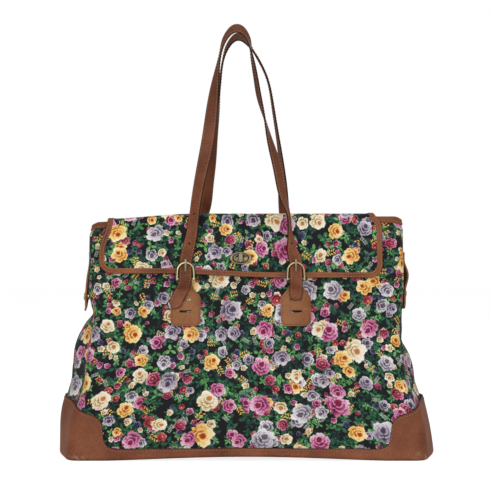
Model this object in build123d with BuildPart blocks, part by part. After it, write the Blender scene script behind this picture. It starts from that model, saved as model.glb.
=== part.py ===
"""Floral weekender tote: fabric body in a leather boot, saddle flap with a turn lock, buckled handles.

The body stands on its base with its front towards -Y. Its front and back are leaning planes above the
boot, so all the metalwork is drawn on two inclined faces, with u across, v up the slope and w outwards.
"""

import os
from math import atan, ceil, cos, radians, sin

from build123d import *

# Body, in millimetres
base_length = 530
base_depth = 210
mouth_length = 436
mouth_depth = 98
body_height = 334
corner_radius = 20
gusset_swell = 0.7
gusset_fold = 0.3
base_puff = 15
canvas = 2.2
boot_leather = 1.4
base_board = 3.0
base_rounding = 6.0

# Boot: a low strip along the front that rises to each corner
strip_height = 17
strip_half = 172
step_half = 201
step_height = 57
boot_side_height = 82
climb_out = 4
climb_sag = 2
shoulder_reach = 10
shoulder_run = 30
shoulder_fall = 10
seam_lap = 8

# Leather bindings
mouth_bind_height = 8
bind_width = 7.5
bind_leather = 1.0

# Flap, which lies over the mouth and behind the handles
closure_shift = -8.5
flap_length = 394
flap_neck = 372
flap_neck_height = 22
flap_drop = 81
flap_rear_drop = 44
flap_corner = 19
flap_fabric = 2.0
flap_gap = 2.8
flap_ease = 1.2
flap_fold = 2

# Turn lock
lock_drop = 59
lock_plate_length = 30
lock_plate_height = 17
lock_plate_thick = 1.2
lock_rim = 1.2
lock_plate_bevel = 0.5
lock_slot_length = 15.5
lock_slot_height = 8.6
lock_back_thick = 0.8
lock_base_length = 24
lock_base_height = 13
lock_base_thick = 0.9
collar_radius = 4.0
collar_height = 3.4
post_radius = 2.5
post_flange = 3.2
knob_length = 14
knob_width = 7
knob_thick = 3.3
knob_bevel = 0.9
running_gap = 0.2

# Handles
strap_width = 18
strap_thick = 2.6
strap_step = 22
strap_turn = 7
handle_rise = 270
hole_radius = 1.6
punch_height = 49.5
tongue_hole_length = 10.5
tongue_hole_width = 4.2
tongue_hole_height = 9.8

# Buckles
buckle_pitch = 153
buckle_drop = 89
buckle_wire = 2.8
buckle_arch = 9.7
buckle_rim = 3.0
buckle_rise = 11.5
buckle_flare = 0.7
buckle_toe = 2.2
buckle_bevel = 0.8
bar_radius = 1.5
tongue_width = 2.6
tongue_thick = 1.7
tongue_eye = 1.25
tongue_ease = 1.5
tongue_tip = 3.2
tongue_droop = 0.8

# Tabs that carry the buckles
tab_width = 41.5
tab_drop = 64.5
tab_leather = 2.5
tab_fold = 2.2
tab_neck = 17
tab_shoulder = 8.5
tab_shoulder_end = 24.5
tab_corner = 8
tab_lap = 2
tab_skive = 5.5
tab_slot_length = 16
tab_slot_height = 3.2
tab_slot_drops = (27.7, 44.2)
fit_gap = 0.15

# Side straps with press studs
side_strap_width = 18
side_strap_thick = 2.5
side_strap_forward = -31
stud_drop = 107
loose_cap_drop = 112
cap_radius = 6
cap_bevel = 0.9
cap_height = 2.2
socket_radius = 4.6
socket_height = 1.8
stud_base_radius = 5
stud_base = 0.8
stud_post_radius = 1.8
stud_post = 1.6

# Slope of the front and back, and the height of a buckle's heel bar off the face
lean = (base_depth - mouth_depth) / 2 / body_height
tilt = atan(lean)
under_arch = flap_gap + flap_fabric + bind_leather + 2 * fit_gap + strap_thick / 2
bar_stand = under_arch + strap_thick / 2 + fit_gap + buckle_wire / 2
over_bar = bar_stand + bar_radius + fit_gap + tab_fold + fit_gap + strap_thick / 2

# Body sections from the base up: share of the height, flare of the corners from the mouth towards the
# base, reach of the left and of the right gusset as shares of the base's puff, belly of front and back.
# The gussets puff out low down and fold inwards under the mouth, the right one sooner than the left.
SECTIONS = (
    (0.00, 1.00, 1.00, 1.00, 0.0),
    (0.06, 0.95, 1.10, 0.95, 2.0),
    (0.20, 0.69, 1.47, 0.90, 6.0),
    (0.33, 0.25, 1.53, 1.07, 7.0),
    (0.435, 0.03, 1.60, 0.60, 3.0),
    (0.525, 0.00, 1.27, -0.35, 0.0),
    (0.615, 0.00, 0.07, -0.80, 0.0),
    (0.75, 0.00, -1.20, -1.20, 0.0),
    (1.03, 0.00, -1.95, -1.95, 0.0),
)

# Route of each handle above the mouth, from left to right: share of the handle's rise, share of the half
# pitch of the buckles, share of the mouth's half depth towards its own side, and the turn of the strap,
# where 90 shows its face to the front and 0 its edge
FRONT_LOOP = (
    (0.015, -0.84, 1.34, 52),
    (0.19, -0.75, 1.02, 60),
    (0.39, -0.615, 0.78, 82),
    (0.59, -0.525, 0.53, 62),
    (0.76, -0.45, 0.33, 25),
    (0.89, -0.36, 0.25, 10),
    (0.967, -0.245, 0.23, 30),
    (1.00, -0.07, 0.22, 50),
    (0.963, 0.10, 0.23, 28),
    (0.89, 0.18, 0.25, 4),
    (0.74, 0.275, 0.33, -16),
    (0.64, 0.335, 0.45, -18),
    (0.52, 0.44, 0.59, 0),
    (0.41, 0.53, 0.73, 24),
    (0.245, 0.68, 0.96, 44),
    (0.08, 0.79, 1.26, 30),
    (0.00, 0.87, 1.42, 14),
)
REAR_LOOP = (
    (0.015, -0.74, 1.36, 55),
    (0.17, -0.635, 1.02, 62),
    (0.30, -0.57, 0.88, 50),
    (0.40, -0.525, 0.76, 35),
    (0.61, -0.425, 0.51, 5),
    (0.75, -0.385, 0.35, -5),
    (0.87, -0.31, 0.25, -8),
    (0.935, -0.20, 0.20, -25),
    (0.965, -0.05, 0.18, -45),
    (0.94, 0.10, 0.20, -25),
    (0.90, 0.21, 0.23, -8),
    (0.83, 0.36, 0.28, 0),
    (0.75, 0.49, 0.34, 0),
    (0.61, 0.60, 0.53, 5),
    (0.47, 0.68, 0.67, 8),
    (0.27, 0.78, 0.90, 25),
    (0.08, 0.82, 1.22, 55),
)

# Ends of the handles: height above the heel bar along the face, shift outwards, height off the face,
# turn, and share of the strap's width. A tucked tail ends in the upper slot of its tab.
slot_drop = tab_slot_drops[0]
on_tab = fit_gap + tab_leather + strap_thick / 2
TUCKED_TAIL = (
    (-slot_drop, 0, 0.9, 90, 0.72),
    (-slot_drop, 0, 3.2, 90, 0.75),
    (2.6 - slot_drop, 0, on_tab + 1.9, 90, 0.86),
    (9 - slot_drop, 0, on_tab + 1.2, 90, 1),
    (-14, 0, on_tab + 2.2, 90, 1),
    (-9, 0, over_bar - 3.9, 90, 1),
    (-4, 0, over_bar - 0.7, 90, 1),
)
LOOSE_TAIL = (
    (-40.8, 17.2, on_tab + 2.2, 90, 0.4),
    (-38.3, 16.1, on_tab + 2.2, 90, 0.72),
    (-34, 14.4, on_tab + 2.2, 90, 1),
    (-24, 9.8, on_tab + 2.2, 90, 1),
    (-14, 4.8, on_tab + 2.3, 90, 1),
    (-9, 2.4, over_bar - 3.9, 90, 1),
    (-4, 0.8, over_bar - 0.7, 90, 1),
)
THROUGH_BUCKLE = (
    (0, 0, over_bar, 90, 1),
    (5, 0, over_bar - 0.8, 90, 1),
    (10.5, 0, under_arch + 3.4, 90, 1),
    (15.5, 0, under_arch + 0.4, 90, 1),
    (20, 0, under_arch, 90, 1),
    (25, 0, under_arch, 90, 1),
)
FLAT_RISE = (
    (37, -2.5, under_arch + 1.5, 86, 1),
    (punch_height, -5.6, under_arch + 3.2, 74, 1),
    (66, -9.0, under_arch + 4.8, 62, 1),
)
TURNED_RISE = (
    (37, -4.4, under_arch + 3.6, 62, 1),
    (punch_height, -6.4, under_arch + 6.4, 40, 1),
    (66, -8.4, under_arch + 8.2, 20, 1),
)

# Side straps: drop below the mouth, height off the gusset, and share of the strap's width
sewn_stand = side_strap_thick / 2 + 3 * fit_gap
stud_lift = 3 * fit_gap
snapped_stand = stud_lift + stud_base + socket_height + side_strap_thick / 2 + 3 * fit_gap
HANGING = (
    (49, sewn_stand, 1),
    (55.5, sewn_stand, 1),
    (62, sewn_stand + 0.2, 1),
    (71, 3.2, 1),
    (82, 5.5, 1),
    (98, 7.6, 1),
    (loose_cap_drop, 8.6, 1),
    (126, 8.8, 1),
    (132, 8.6, 0.8),
    (134, 8.5, 0.45),
)
SNAPPED = (
    (49, sewn_stand, 1),
    (55.5, sewn_stand, 1),
    (62, sewn_stand + 0.4, 1),
    (69, 4.6, 1),
    (79, 8.2, 1),
    (90, 7.4, 1),
    (100, snapped_stand + 0.2, 1),
    (stud_drop, snapped_stand, 1),
    (114, snapped_stand, 1),
    (121, snapped_stand, 1),
    (127, snapped_stand, 0.8),
    (129, snapped_stand, 0.45),
)

os.makedirs("parts", exist_ok=True)

# The two inclined faces, with their origins on the mouth line
FRONT = Plane(
    origin=(closure_shift, -mouth_depth / 2, body_height),
    x_dir=(1, 0, 0),
    z_dir=(0, -cos(tilt), sin(tilt)),
)
REAR = Plane(
    origin=(closure_shift, mouth_depth / 2, body_height),
    x_dir=(-1, 0, 0),
    z_dir=(0, cos(tilt), sin(tilt)),
)
CLOSURE = Plane(origin=(closure_shift, 0, 0), x_dir=(1, 0, 0), z_dir=(0, -1, 0))


def keep(piece, name):
    """Label a finished piece and write it."""
    piece.part.label = name
    export_step(piece.part, f"parts/{name}.step")


def spot_on(face, right, drop, stand=0.0):
    """Plane parallel to a face, so far to the front view's right, below the mouth and off the face."""
    along = right * face.x_dir.X
    return Plane(face.from_local_coords((along, -drop, stand)), x_dir=face.x_dir, z_dir=face.z_dir)


def side_on(spot, along=0.0):
    """Plane across a spot, on which x runs up the slope and y off the face."""
    return Plane(spot.from_local_coords((along, 0, 0)), x_dir=spot.y_dir, z_dir=spot.x_dir)


def bulged(*points, ends):
    """Smooth curve through points with the given directions at its two ends."""
    return Spline(*points, tangents=ends, tangent_scalars=(1, 1))


def half_depth(height):
    """Half the depth of the body at a height."""
    return base_depth / 2 - lean * height


def body_plan(row, height, grow):
    """Closed plan of the body for one row of the sections, grown evenly and drawn at a height."""
    share, flare, left, right, belly = row
    foot = base_length / 2 - base_puff
    mouth = mouth_length / 2
    corner = mouth + flare * (foot - mouth) + grow
    depth = half_depth(share * body_height) + grow
    radius = corner_radius + grow
    flat = corner - radius
    bend = radius * (1 - cos(radians(45)))
    half = (depth - radius) / 2
    with BuildSketch(Plane.XY.offset(height)) as plan:
        with BuildLine():
            for hand, reach in ((1, right * base_puff), (-1, left * base_puff)):
                quarter = corner + reach * (gusset_swell if reach > 0 else gusset_fold)
                face_ends = (-hand * flat, -hand * depth), (hand * flat, -hand * depth)
                if belly:
                    ThreePointArc(face_ends[0], (0, -hand * (depth + belly)), face_ends[1])
                else:
                    Line(*face_ends)
                for way in (1, -1):
                    ThreePointArc(
                        (hand * flat, -way * hand * depth),
                        (hand * (corner - bend), way * hand * (bend - depth)),
                        (hand * corner, way * hand * (radius - depth)),
                    )
                bulged(
                    (hand * corner, hand * (radius - depth)),
                    (hand * quarter, -hand * half),
                    (hand * (corner + reach), 0),
                    (hand * quarter, hand * half),
                    (hand * corner, hand * (depth - radius)),
                    ends=((0, hand), (0, hand)),
                )
        make_face()
    return plan.sketch


def body_form(grow, bottom=0.0):
    """Closed form of the body from a height up, grown outwards evenly."""
    plans = [body_plan(row, max(row[0] * body_height, bottom), grow) for row in SECTIONS]
    with BuildPart() as form:
        loft(plans, ruled=True)
    return form.part


def boot_region(drop):
    """Front view of the region below the upper edge of the boot, lowered by drop."""
    reach = base_length
    shoulder = base_length / 2 + shoulder_reach
    with BuildSketch(Plane.XZ) as region:
        with BuildLine():
            Line((0, strip_height - drop), (strip_half, strip_height - drop))
            bulged(
                (strip_half, strip_height - drop),
                ((strip_half + step_half) / 2 + climb_out, (strip_height + step_height) / 2 - climb_sag - drop),
                (step_half, step_height - drop),
                (shoulder - shoulder_run, boot_side_height - shoulder_fall - drop),
                (shoulder, boot_side_height - drop),
                ends=((1, 0), (1, 0)),
            )
            Polyline(
                (shoulder, boot_side_height - drop),
                (reach, boot_side_height - drop),
                (reach, -body_height),
                (0, -body_height),
            )
            mirror(about=Plane.YZ)
        make_face()
    return region.sketch


def saddle(gap, thick):
    """Long sheet that follows the rear face, bridges the mouth and follows the front face."""
    low = body_height / 2
    top = body_height + bind_leather + flap_ease + gap - (flap_gap - bind_leather)
    foot = half_depth(low) + gap / cos(tilt)
    reach = half_depth(top) + gap / cos(tilt)
    grown = thick / cos(tilt)
    outer_reach = reach + grown - thick * lean
    with BuildSketch(Plane.YZ) as room:
        Polygon((-foot, low), (foot, low), (reach, top), (-reach, top), align=None)
        fillet(room.vertices().group_by(Axis.Z)[-1], radius=flap_fold)
    with BuildSketch(Plane.YZ) as profile:
        Polygon(
            (-foot - grown, low),
            (foot + grown, low),
            (outer_reach, top + thick),
            (-outer_reach, top + thick),
            align=None,
        )
        fillet(profile.vertices().group_by(Axis.Z)[-1], radius=flap_fold + thick)
    with BuildPart() as sheet:
        extrude(profile.sketch, amount=flap_length, both=True)
        extrude(room.sketch, amount=flap_length, both=True, mode=Mode.SUBTRACT)
    return sheet.part


def flap_region(low, inset):
    """Front view of the flap above a height, inset evenly and open at the top."""
    side = flap_length / 2 - inset
    neck = flap_neck / 2 - inset
    radius = flap_corner - inset
    bottom = low + inset
    waist = max(body_height - flap_neck_height, bottom + radius + bind_leather)
    above = body_height + 2 * flap_neck_height
    bend = radius * sin(radians(45))
    with BuildSketch(CLOSURE) as region:
        with BuildLine():
            Line((0, bottom), (side - radius, bottom))
            ThreePointArc(
                (side - radius, bottom),
                (side - radius + bend, bottom + radius - bend),
                (side, bottom + radius),
            )
            Polyline(
                (side, bottom + radius),
                (side, waist),
                (neck, body_height + bind_leather),
                (neck, above),
                (0, above),
            )
            mirror(about=Plane.YZ)
        make_face()
    return region.sketch


def flap_tool(inset):
    """Outline of the flap cut through its front and its shorter rear part."""
    front_half = flap_region(spot_on(FRONT, 0, flap_drop).origin.Z, inset)
    rear_half = flap_region(spot_on(REAR, 0, flap_rear_drop).origin.Z, inset)
    with BuildPart() as outline:
        extrude(front_half, amount=base_depth)
        extrude(rear_half, amount=-base_depth)
    return outline.part


def strap_sections(rows, width, thick):
    """Sections of a strap and the planes at its rows of point, rule for its width way, share of width."""
    route = Spline(*[point for point, rule, share in rows])
    places = [route.param_at_point(point) for point, rule, share in rows]
    planes = []
    for place, (point, rule, share) in zip(places, rows):
        ahead = route.tangent_at(place)
        across = rule(ahead)
        planes.append(Plane(point, x_dir=across - ahead * across.dot(ahead), z_dir=ahead))
    sections = []
    for index in range(len(rows) - 1):
        low, high = places[index:index + 2]
        start, end = planes[index:index + 2]
        turn = start.z_dir.get_angle(end.z_dir) + start.x_dir.get_angle(end.x_dir)
        count = max(1, ceil((high - low) * route.length / strap_step), ceil(turn / strap_turn))
        last = index == len(rows) - 2
        for step in range(count + 1 if last else count):
            part = step / count
            place = low + (high - low) * part
            across = start.x_dir * (1 - part) + end.x_dir * part
            share = rows[index][2] * (1 - part) + rows[index + 1][2] * part
            with BuildSketch(Plane(route.position_at(place), across, route.tangent_at(place))) as section:
                Rectangle(width * share, thick)
            sections.append(section.sketch)
    return sections, planes


def end_rows(face, right, hand, rows):
    """Stations of a handle's end on a face: hand is -1 at the left end and 1 at the right one."""
    stations = []
    for height, outwards, stand, turn, share in rows:
        spot = spot_on(face, right + hand * outwards, buckle_drop - height, stand)
        width_way = face.z_dir * cos(radians(turn)) - Vector(hand, 0, 0) * sin(radians(turn))
        stations.append((spot.origin, lambda ahead, way=width_way: way, share))
    return stations


def loop_rows(side, rows):
    """Stations of a handle above the mouth: side is -1 for the front handle and 1 for the rear one."""
    stations = []
    for level, across, towards, turn in rows:
        point = Vector(
            closure_shift + across * buckle_pitch / 2,
            side * towards * mouth_depth / 2,
            body_height + level * handle_rise,
        )
        angle = radians(turn)

        def width_way(ahead, angle=angle):
            """Towards the handle's own side, turned inwards to the loop."""
            return Vector(0, side, 0) * cos(angle) + ahead.cross(Vector(0, -1, 0)) * sin(angle)

        stations.append((point, width_way, 1))
    return stations


def make_handle(face, side, left_rows, loop, right_rows):
    """Handle from tail to tail, with its punched holes."""
    half = buckle_pitch / 2
    left = end_rows(face, -half, -1, left_rows)
    right = end_rows(face, half, 1, right_rows)
    stations = left + loop_rows(side, loop) + right[::-1]
    sections, planes = strap_sections(stations, strap_width, strap_thick)
    punched = (len(left) - 2, len(left), len(left) + len(loop) - 1, len(left) + len(loop) + 1)
    with BuildPart() as handle:
        loft(sections, ruled=True)
        for index in punched:
            plane = planes[index]
            with BuildSketch(Plane(plane.origin, x_dir=plane.x_dir, z_dir=plane.y_dir)):
                Circle(hole_radius)
            extrude(amount=strap_thick, both=True, mode=Mode.SUBTRACT)
        for right_way in (-half, half):
            with BuildSketch(spot_on(face, right_way, buckle_drop - tongue_hole_height, bar_stand)):
                SlotOverall(tongue_hole_length, tongue_hole_width, rotation=90)
            extrude(amount=bar_stand / 2, both=True, mode=Mode.SUBTRACT)
    return handle


def make_buckle(face, right):
    """Cast horseshoe frame with its heel bar."""
    seat = spot_on(face, right, buckle_drop, bar_stand - buckle_wire / 2)
    axle = spot_on(face, right, buckle_drop, bar_stand)
    outer = buckle_arch + buckle_rim
    top = buckle_rise
    with BuildPart() as buckle:
        with BuildSketch(seat):
            with BuildLine():
                Line((outer + buckle_flare, -buckle_toe), (outer, top))
                ThreePointArc((outer, top), (0, top + outer), (-outer, top))
                Line((-outer, top), (-outer - buckle_flare, -buckle_toe))
                Line((-outer - buckle_flare, -buckle_toe), (-buckle_arch - buckle_flare, -buckle_toe))
                Line((-buckle_arch - buckle_flare, -buckle_toe), (-buckle_arch, top))
                ThreePointArc((-buckle_arch, top), (0, top + buckle_arch), (buckle_arch, top))
                Line((buckle_arch, top), (buckle_arch + buckle_flare, -buckle_toe))
                Line((buckle_arch + buckle_flare, -buckle_toe), (outer + buckle_flare, -buckle_toe))
            make_face()
        extrude(amount=buckle_wire)
        chamfer(buckle.edges().group_by(Axis(seat.origin, seat.z_dir))[-1], length=buckle_bevel)
        half_bar = buckle_arch + buckle_rim / 2
        with BuildSketch(side_on(axle, -half_bar)):
            Circle(bar_radius)
        extrude(amount=2 * half_bar)
    return buckle


def make_tongue(face, right):
    """Tongue that turns on the heel bar, pierces the strap and rests on the arch."""
    axle = spot_on(face, right, buckle_drop, bar_stand)
    arch_top = buckle_rise + buckle_arch + buckle_rim
    rest = arch_top - buckle_rim - tongue_ease
    low = buckle_wire / 2 + fit_gap
    half = tongue_thick / 2
    with BuildPart() as tongue:
        with BuildSketch(side_on(axle, -tongue_width / 2)):
            Circle(bar_radius + fit_gap + tongue_eye)
            Polygon(
                (0, -half),
                (rest, low),
                (arch_top, low),
                (arch_top + 0.8 * tongue_tip, low - tongue_droop),
                (arch_top + tongue_tip, low),
                (arch_top + 0.3 * tongue_tip, low + tongue_thick),
                (rest, low + tongue_thick),
                (0, half),
                align=None,
            )
            Circle(bar_radius + fit_gap, mode=Mode.SUBTRACT)
        extrude(amount=tongue_width)
    return tongue


def make_tab(face, right):
    """Leather tab with two slots, whose neck is folded round the heel bar."""
    seat = spot_on(face, right, buckle_drop)
    half = tab_width / 2
    neck = tab_neck / 2
    fold = bar_radius + fit_gap + tab_fold
    bend = tab_corner * (1 - cos(radians(45)))
    with BuildPart() as tab:
        with BuildSketch(seat.offset(fit_gap)):
            with BuildLine():
                Polyline(
                    (0, tab_lap - tab_shoulder),
                    (neck, tab_lap - tab_shoulder),
                    (neck, -tab_shoulder),
                    (half, -tab_shoulder_end),
                    (half, tab_corner - tab_drop),
                )
                ThreePointArc(
                    (half, tab_corner - tab_drop),
                    (half - bend, bend - tab_drop),
                    (half - tab_corner, -tab_drop),
                )
                Line((half - tab_corner, -tab_drop), (0, -tab_drop))
                mirror(about=Plane.YZ)
            make_face()
            with Locations(*[(0, -drop) for drop in tab_slot_drops]):
                Rectangle(tab_slot_length, tab_slot_height, mode=Mode.SUBTRACT)
        extrude(amount=tab_leather)
        with BuildSketch(side_on(seat, -neck)):
            with Locations((0, bar_stand)):
                Circle(fold)
            with Locations((-tab_shoulder - tab_skive, fit_gap + tab_leather / 2)):
                Rectangle(tab_lap, tab_leather)
            make_hull()
            with Locations((0, bar_stand)):
                Circle(bar_radius + fit_gap, mode=Mode.SUBTRACT)
        extrude(amount=tab_neck)
        slit = tongue_width + 6 * fit_gap
        with BuildSketch(side_on(seat, -slit / 2)):
            with Locations((fold / 4, bar_stand)):
                Rectangle(2.5 * fold, 2.5 * fold)
        extrude(amount=slit, mode=Mode.SUBTRACT)
    return tab


def gusset_seat(hand, drop):
    """Plane on a gusset at the middle of its side strap, facing outwards, with x level."""
    line = Axis((hand * base_length, side_strap_forward, body_height - drop), (-hand, 0, 0))
    hits = [hit for face in outer_form.faces() for hit in face.find_intersection_points(line)]
    point, normal = max(hits, key=lambda hit: hand * hit[0].X)
    if normal.X * hand < 0:
        normal = -normal
    return Plane(point, x_dir=Vector(0, 0, 1).cross(normal), z_dir=normal)


def make_side_strap(hand, rows):
    """Leather strap sewn to a gusset by its top, with the planes across it at its rows."""
    stations = []
    for drop, stand, share in rows:
        seat = gusset_seat(hand, drop)
        stations.append((seat.offset(stand).origin, lambda ahead, seat=seat: seat.x_dir, share))
    sections, planes = strap_sections(stations, side_strap_width, side_strap_thick)
    with BuildPart() as strap:
        loft(sections, ruled=True)
    return strap, planes


# Body forms that the shells are cut from
outer_form = body_form(0)
inner_form = body_form(-canvas)
fitted_form = body_form(fit_gap)
boot_form = body_form(boot_leather, base_rounding)

# Fabric panels: each wraps round its corners to a seam down the middle of the gussets
PANEL_SIDES = {"front_panel": 1, "back_panel": -1}
under_boot = boot_region(seam_lap)
for name, way in PANEL_SIDES.items():
    with BuildPart() as panel:
        add(outer_form)
        add(inner_form, mode=Mode.SUBTRACT)
        extrude(under_boot, amount=base_depth, both=True, mode=Mode.SUBTRACT)
        with BuildSketch(Plane.XZ):
            with Locations((0, body_height / 2)):
                Rectangle(2 * base_length, body_height)
        extrude(amount=way * base_depth, mode=Mode.INTERSECT)
    keep(panel, name)

# Leather boot over the lower edge of the panels, with the base and its rolled lower edge
with BuildPart() as cavity:
    add(fitted_form)
    with BuildSketch(Plane.XY):
        Rectangle(2 * base_length, 2 * base_depth)
    extrude(amount=base_board, mode=Mode.SUBTRACT)

foot_plans = []
for angle in (0, 30, 60, 90):
    inset = base_rounding * (1 - sin(radians(angle)))
    lift = base_rounding * (1 - cos(radians(angle)))
    foot_plans.append(body_plan(SECTIONS[0], lift, boot_leather - inset))
with BuildPart() as boot_foot:
    loft(foot_plans, ruled=True)

boot_front = boot_region(0)
with BuildPart() as leather_base:
    add(boot_form)
    add(boot_foot.part)
    add(cavity.part, mode=Mode.SUBTRACT)
    extrude(boot_front, amount=base_depth, both=True, mode=Mode.INTERSECT)
keep(leather_base, "leather_base")

# Leather binding folded over the edge of the mouth
binding_form = body_form(bind_leather)
binding_room = body_form(-canvas - bind_leather)
channel_room = body_form(-canvas - fit_gap)
with BuildPart() as channel:
    add(fitted_form)
    add(channel_room, mode=Mode.SUBTRACT)
    with BuildSketch(Plane.XY.offset(body_height)):
        Rectangle(2 * base_length, 2 * base_depth)
    extrude(amount=body_height, mode=Mode.SUBTRACT)
with BuildPart() as mouth_binding:
    add(binding_form)
    add(binding_room, mode=Mode.SUBTRACT)
    with BuildSketch(Plane.XY.offset(body_height - mouth_bind_height)):
        Rectangle(2 * base_length, 2 * base_depth)
    extrude(amount=mouth_bind_height + bind_leather, mode=Mode.INTERSECT)
    add(channel.part, mode=Mode.SUBTRACT)
keep(mouth_binding, "mouth_binding")

# Fabric flap with the opening for the turn lock, and the leather binding folded round its edge
fabric_sheet = saddle(flap_gap, flap_fabric)
fabric_outline = flap_tool(bind_leather)
with BuildPart() as flap:
    add(fabric_sheet)
    add(fabric_outline, mode=Mode.INTERSECT)
    with BuildSketch(spot_on(FRONT, 0, lock_drop)):
        SlotOverall(lock_slot_length, lock_slot_height)
    extrude(amount=2 * flap_gap + flap_fabric, mode=Mode.SUBTRACT)
keep(flap, "flap")

leather_sheet = saddle(flap_gap - bind_leather, flap_fabric + 2 * bind_leather)
leather_outline = flap_tool(0)
inside_binding = flap_tool(bind_width)
with BuildPart() as flap_binding:
    add(leather_sheet)
    add(leather_outline, mode=Mode.INTERSECT)
    add(inside_binding, mode=Mode.SUBTRACT)
    add(flap.part, mode=Mode.SUBTRACT)
keep(flap_binding, "flap_binding")

# Turn lock: plate with its raised rim on the flap, backing plate behind it, base plate on the body
lock_spot = spot_on(FRONT, 0, lock_drop)
flap_face = flap_gap + flap_fabric
with BuildPart() as lock_eyelet_plate:
    with BuildSketch(lock_spot.offset(flap_face)):
        Ellipse(lock_plate_length / 2, lock_plate_height / 2)
    extrude(amount=lock_plate_thick)
    outer_rim = lock_eyelet_plate.edges().sort_by(Axis(lock_spot.origin, lock_spot.z_dir))[-1]
    chamfer(outer_rim, length=lock_plate_bevel)
    with BuildSketch(lock_spot.offset(flap_face)):
        SlotOverall(lock_slot_length + 2 * lock_rim, lock_slot_height + 2 * lock_rim)
    extrude(amount=lock_plate_thick + lock_rim)
    with BuildSketch(lock_spot.offset(flap_face)):
        SlotOverall(lock_slot_length, lock_slot_height)
    extrude(amount=2 * lock_plate_thick + lock_rim, mode=Mode.SUBTRACT)
keep(lock_eyelet_plate, "lock_eyelet_plate")

with BuildPart() as lock_backing_plate:
    with BuildSketch(lock_spot.offset(flap_gap - lock_back_thick)):
        Ellipse(lock_plate_length / 2 - 1, lock_plate_height / 2 - 0.8)
        SlotOverall(lock_slot_length, lock_slot_height, mode=Mode.SUBTRACT)
    extrude(amount=lock_back_thick)
keep(lock_backing_plate, "lock_backing_plate")

with BuildPart() as lock_base_plate:
    with BuildSketch(lock_spot):
        Ellipse(lock_base_length / 2, lock_base_height / 2)
    extrude(amount=lock_base_thick)
    with BuildSketch(lock_spot):
        Circle(collar_radius)
    extrude(amount=collar_height)
    with BuildSketch(lock_spot):
        Circle(post_radius + running_gap)
    extrude(amount=collar_height, mode=Mode.SUBTRACT)
    with BuildSketch(lock_spot):
        Circle(post_flange + running_gap)
    extrude(amount=lock_base_thick, mode=Mode.SUBTRACT)
keep(lock_base_plate, "lock_base_plate")

# Knob that turns on its riveted post, upright across the opening when locked
knob_stand = flap_face + lock_plate_thick + lock_rim + 2 * running_gap
with BuildPart() as lock_knob:
    with BuildSketch(lock_spot.offset(knob_stand)):
        SlotOverall(knob_length, knob_width, rotation=90)
    extrude(amount=knob_thick)
    chamfer(lock_knob.edges().group_by(Axis(lock_spot.origin, lock_spot.z_dir))[-1], length=knob_bevel)
    with BuildSketch(lock_spot.offset(running_gap)):
        Circle(post_radius)
    extrude(amount=knob_stand)
    with BuildSketch(lock_spot.offset(running_gap)):
        Circle(post_flange)
    extrude(amount=lock_base_thick - 2 * running_gap)
keep(lock_knob, "lock_knob")

# Handles
front_handle = make_handle(
    FRONT,
    -1,
    LOOSE_TAIL + THROUGH_BUCKLE + FLAT_RISE,
    FRONT_LOOP,
    TUCKED_TAIL + THROUGH_BUCKLE + TURNED_RISE,
)
keep(front_handle, "front_handle")

rear_handle = make_handle(
    REAR,
    1,
    TUCKED_TAIL + THROUGH_BUCKLE + FLAT_RISE,
    REAR_LOOP,
    TUCKED_TAIL + THROUGH_BUCKLE + FLAT_RISE,
)
keep(rear_handle, "rear_handle")

# Buckles, their tongues and the tabs that carry them
CORNERS = {
    "front_left": (FRONT, -1),
    "front_right": (FRONT, 1),
    "rear_left": (REAR, -1),
    "rear_right": (REAR, 1),
}
for place, (face, hand) in CORNERS.items():
    across = hand * buckle_pitch / 2
    keep(make_tab(face, across), f"tab_{place}")
    keep(make_buckle(face, across), f"buckle_{place}")
    keep(make_tongue(face, across), f"buckle_tongue_{place}")

# Side straps: the left one hangs open and the right one is snapped to its stud
SIDES = {"left": (-1, HANGING, loose_cap_drop), "right": (1, SNAPPED, stud_drop)}
for place, (hand, rows, cap_drop) in SIDES.items():
    strap, planes = make_side_strap(hand, rows)
    keep(strap, f"side_strap_{place}")
    stud_seat = gusset_seat(hand, stud_drop).offset(stud_lift)
    across = planes[[row[0] for row in rows].index(cap_drop)]
    outwards = across.y_dir if across.y_dir.X * hand > 0 else -across.y_dir
    clip = Plane(across.origin, x_dir=across.x_dir, z_dir=outwards)
    if cap_drop == stud_drop:
        clip = stud_seat.offset(snapped_stand - stud_lift)
    half_strap = side_strap_thick / 2 + 2 * fit_gap

    with BuildPart() as snap_stud:
        with BuildSketch(stud_seat):
            Circle(stud_base_radius)
        extrude(amount=stud_base)
        with BuildSketch(stud_seat):
            Circle(stud_post_radius)
        extrude(amount=stud_base + stud_post)
    keep(snap_stud, f"snap_stud_{place}")

    with BuildPart() as snap_socket:
        with BuildSketch(clip.offset(-half_strap)):
            Circle(socket_radius)
            Circle(stud_post_radius + 2 * fit_gap, mode=Mode.SUBTRACT)
        extrude(amount=-socket_height)
    keep(snap_socket, f"snap_socket_{place}")

    with BuildPart() as snap_cap:
        with BuildSketch(clip.offset(half_strap)):
            Circle(cap_radius)
        extrude(amount=cap_height)
        chamfer(snap_cap.edges().sort_by(Axis(clip.origin, clip.z_dir))[-1], length=cap_bevel)
    keep(snap_cap, f"snap_cap_{place}")
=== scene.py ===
from math import atan, cos, pi, radians, sin

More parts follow.
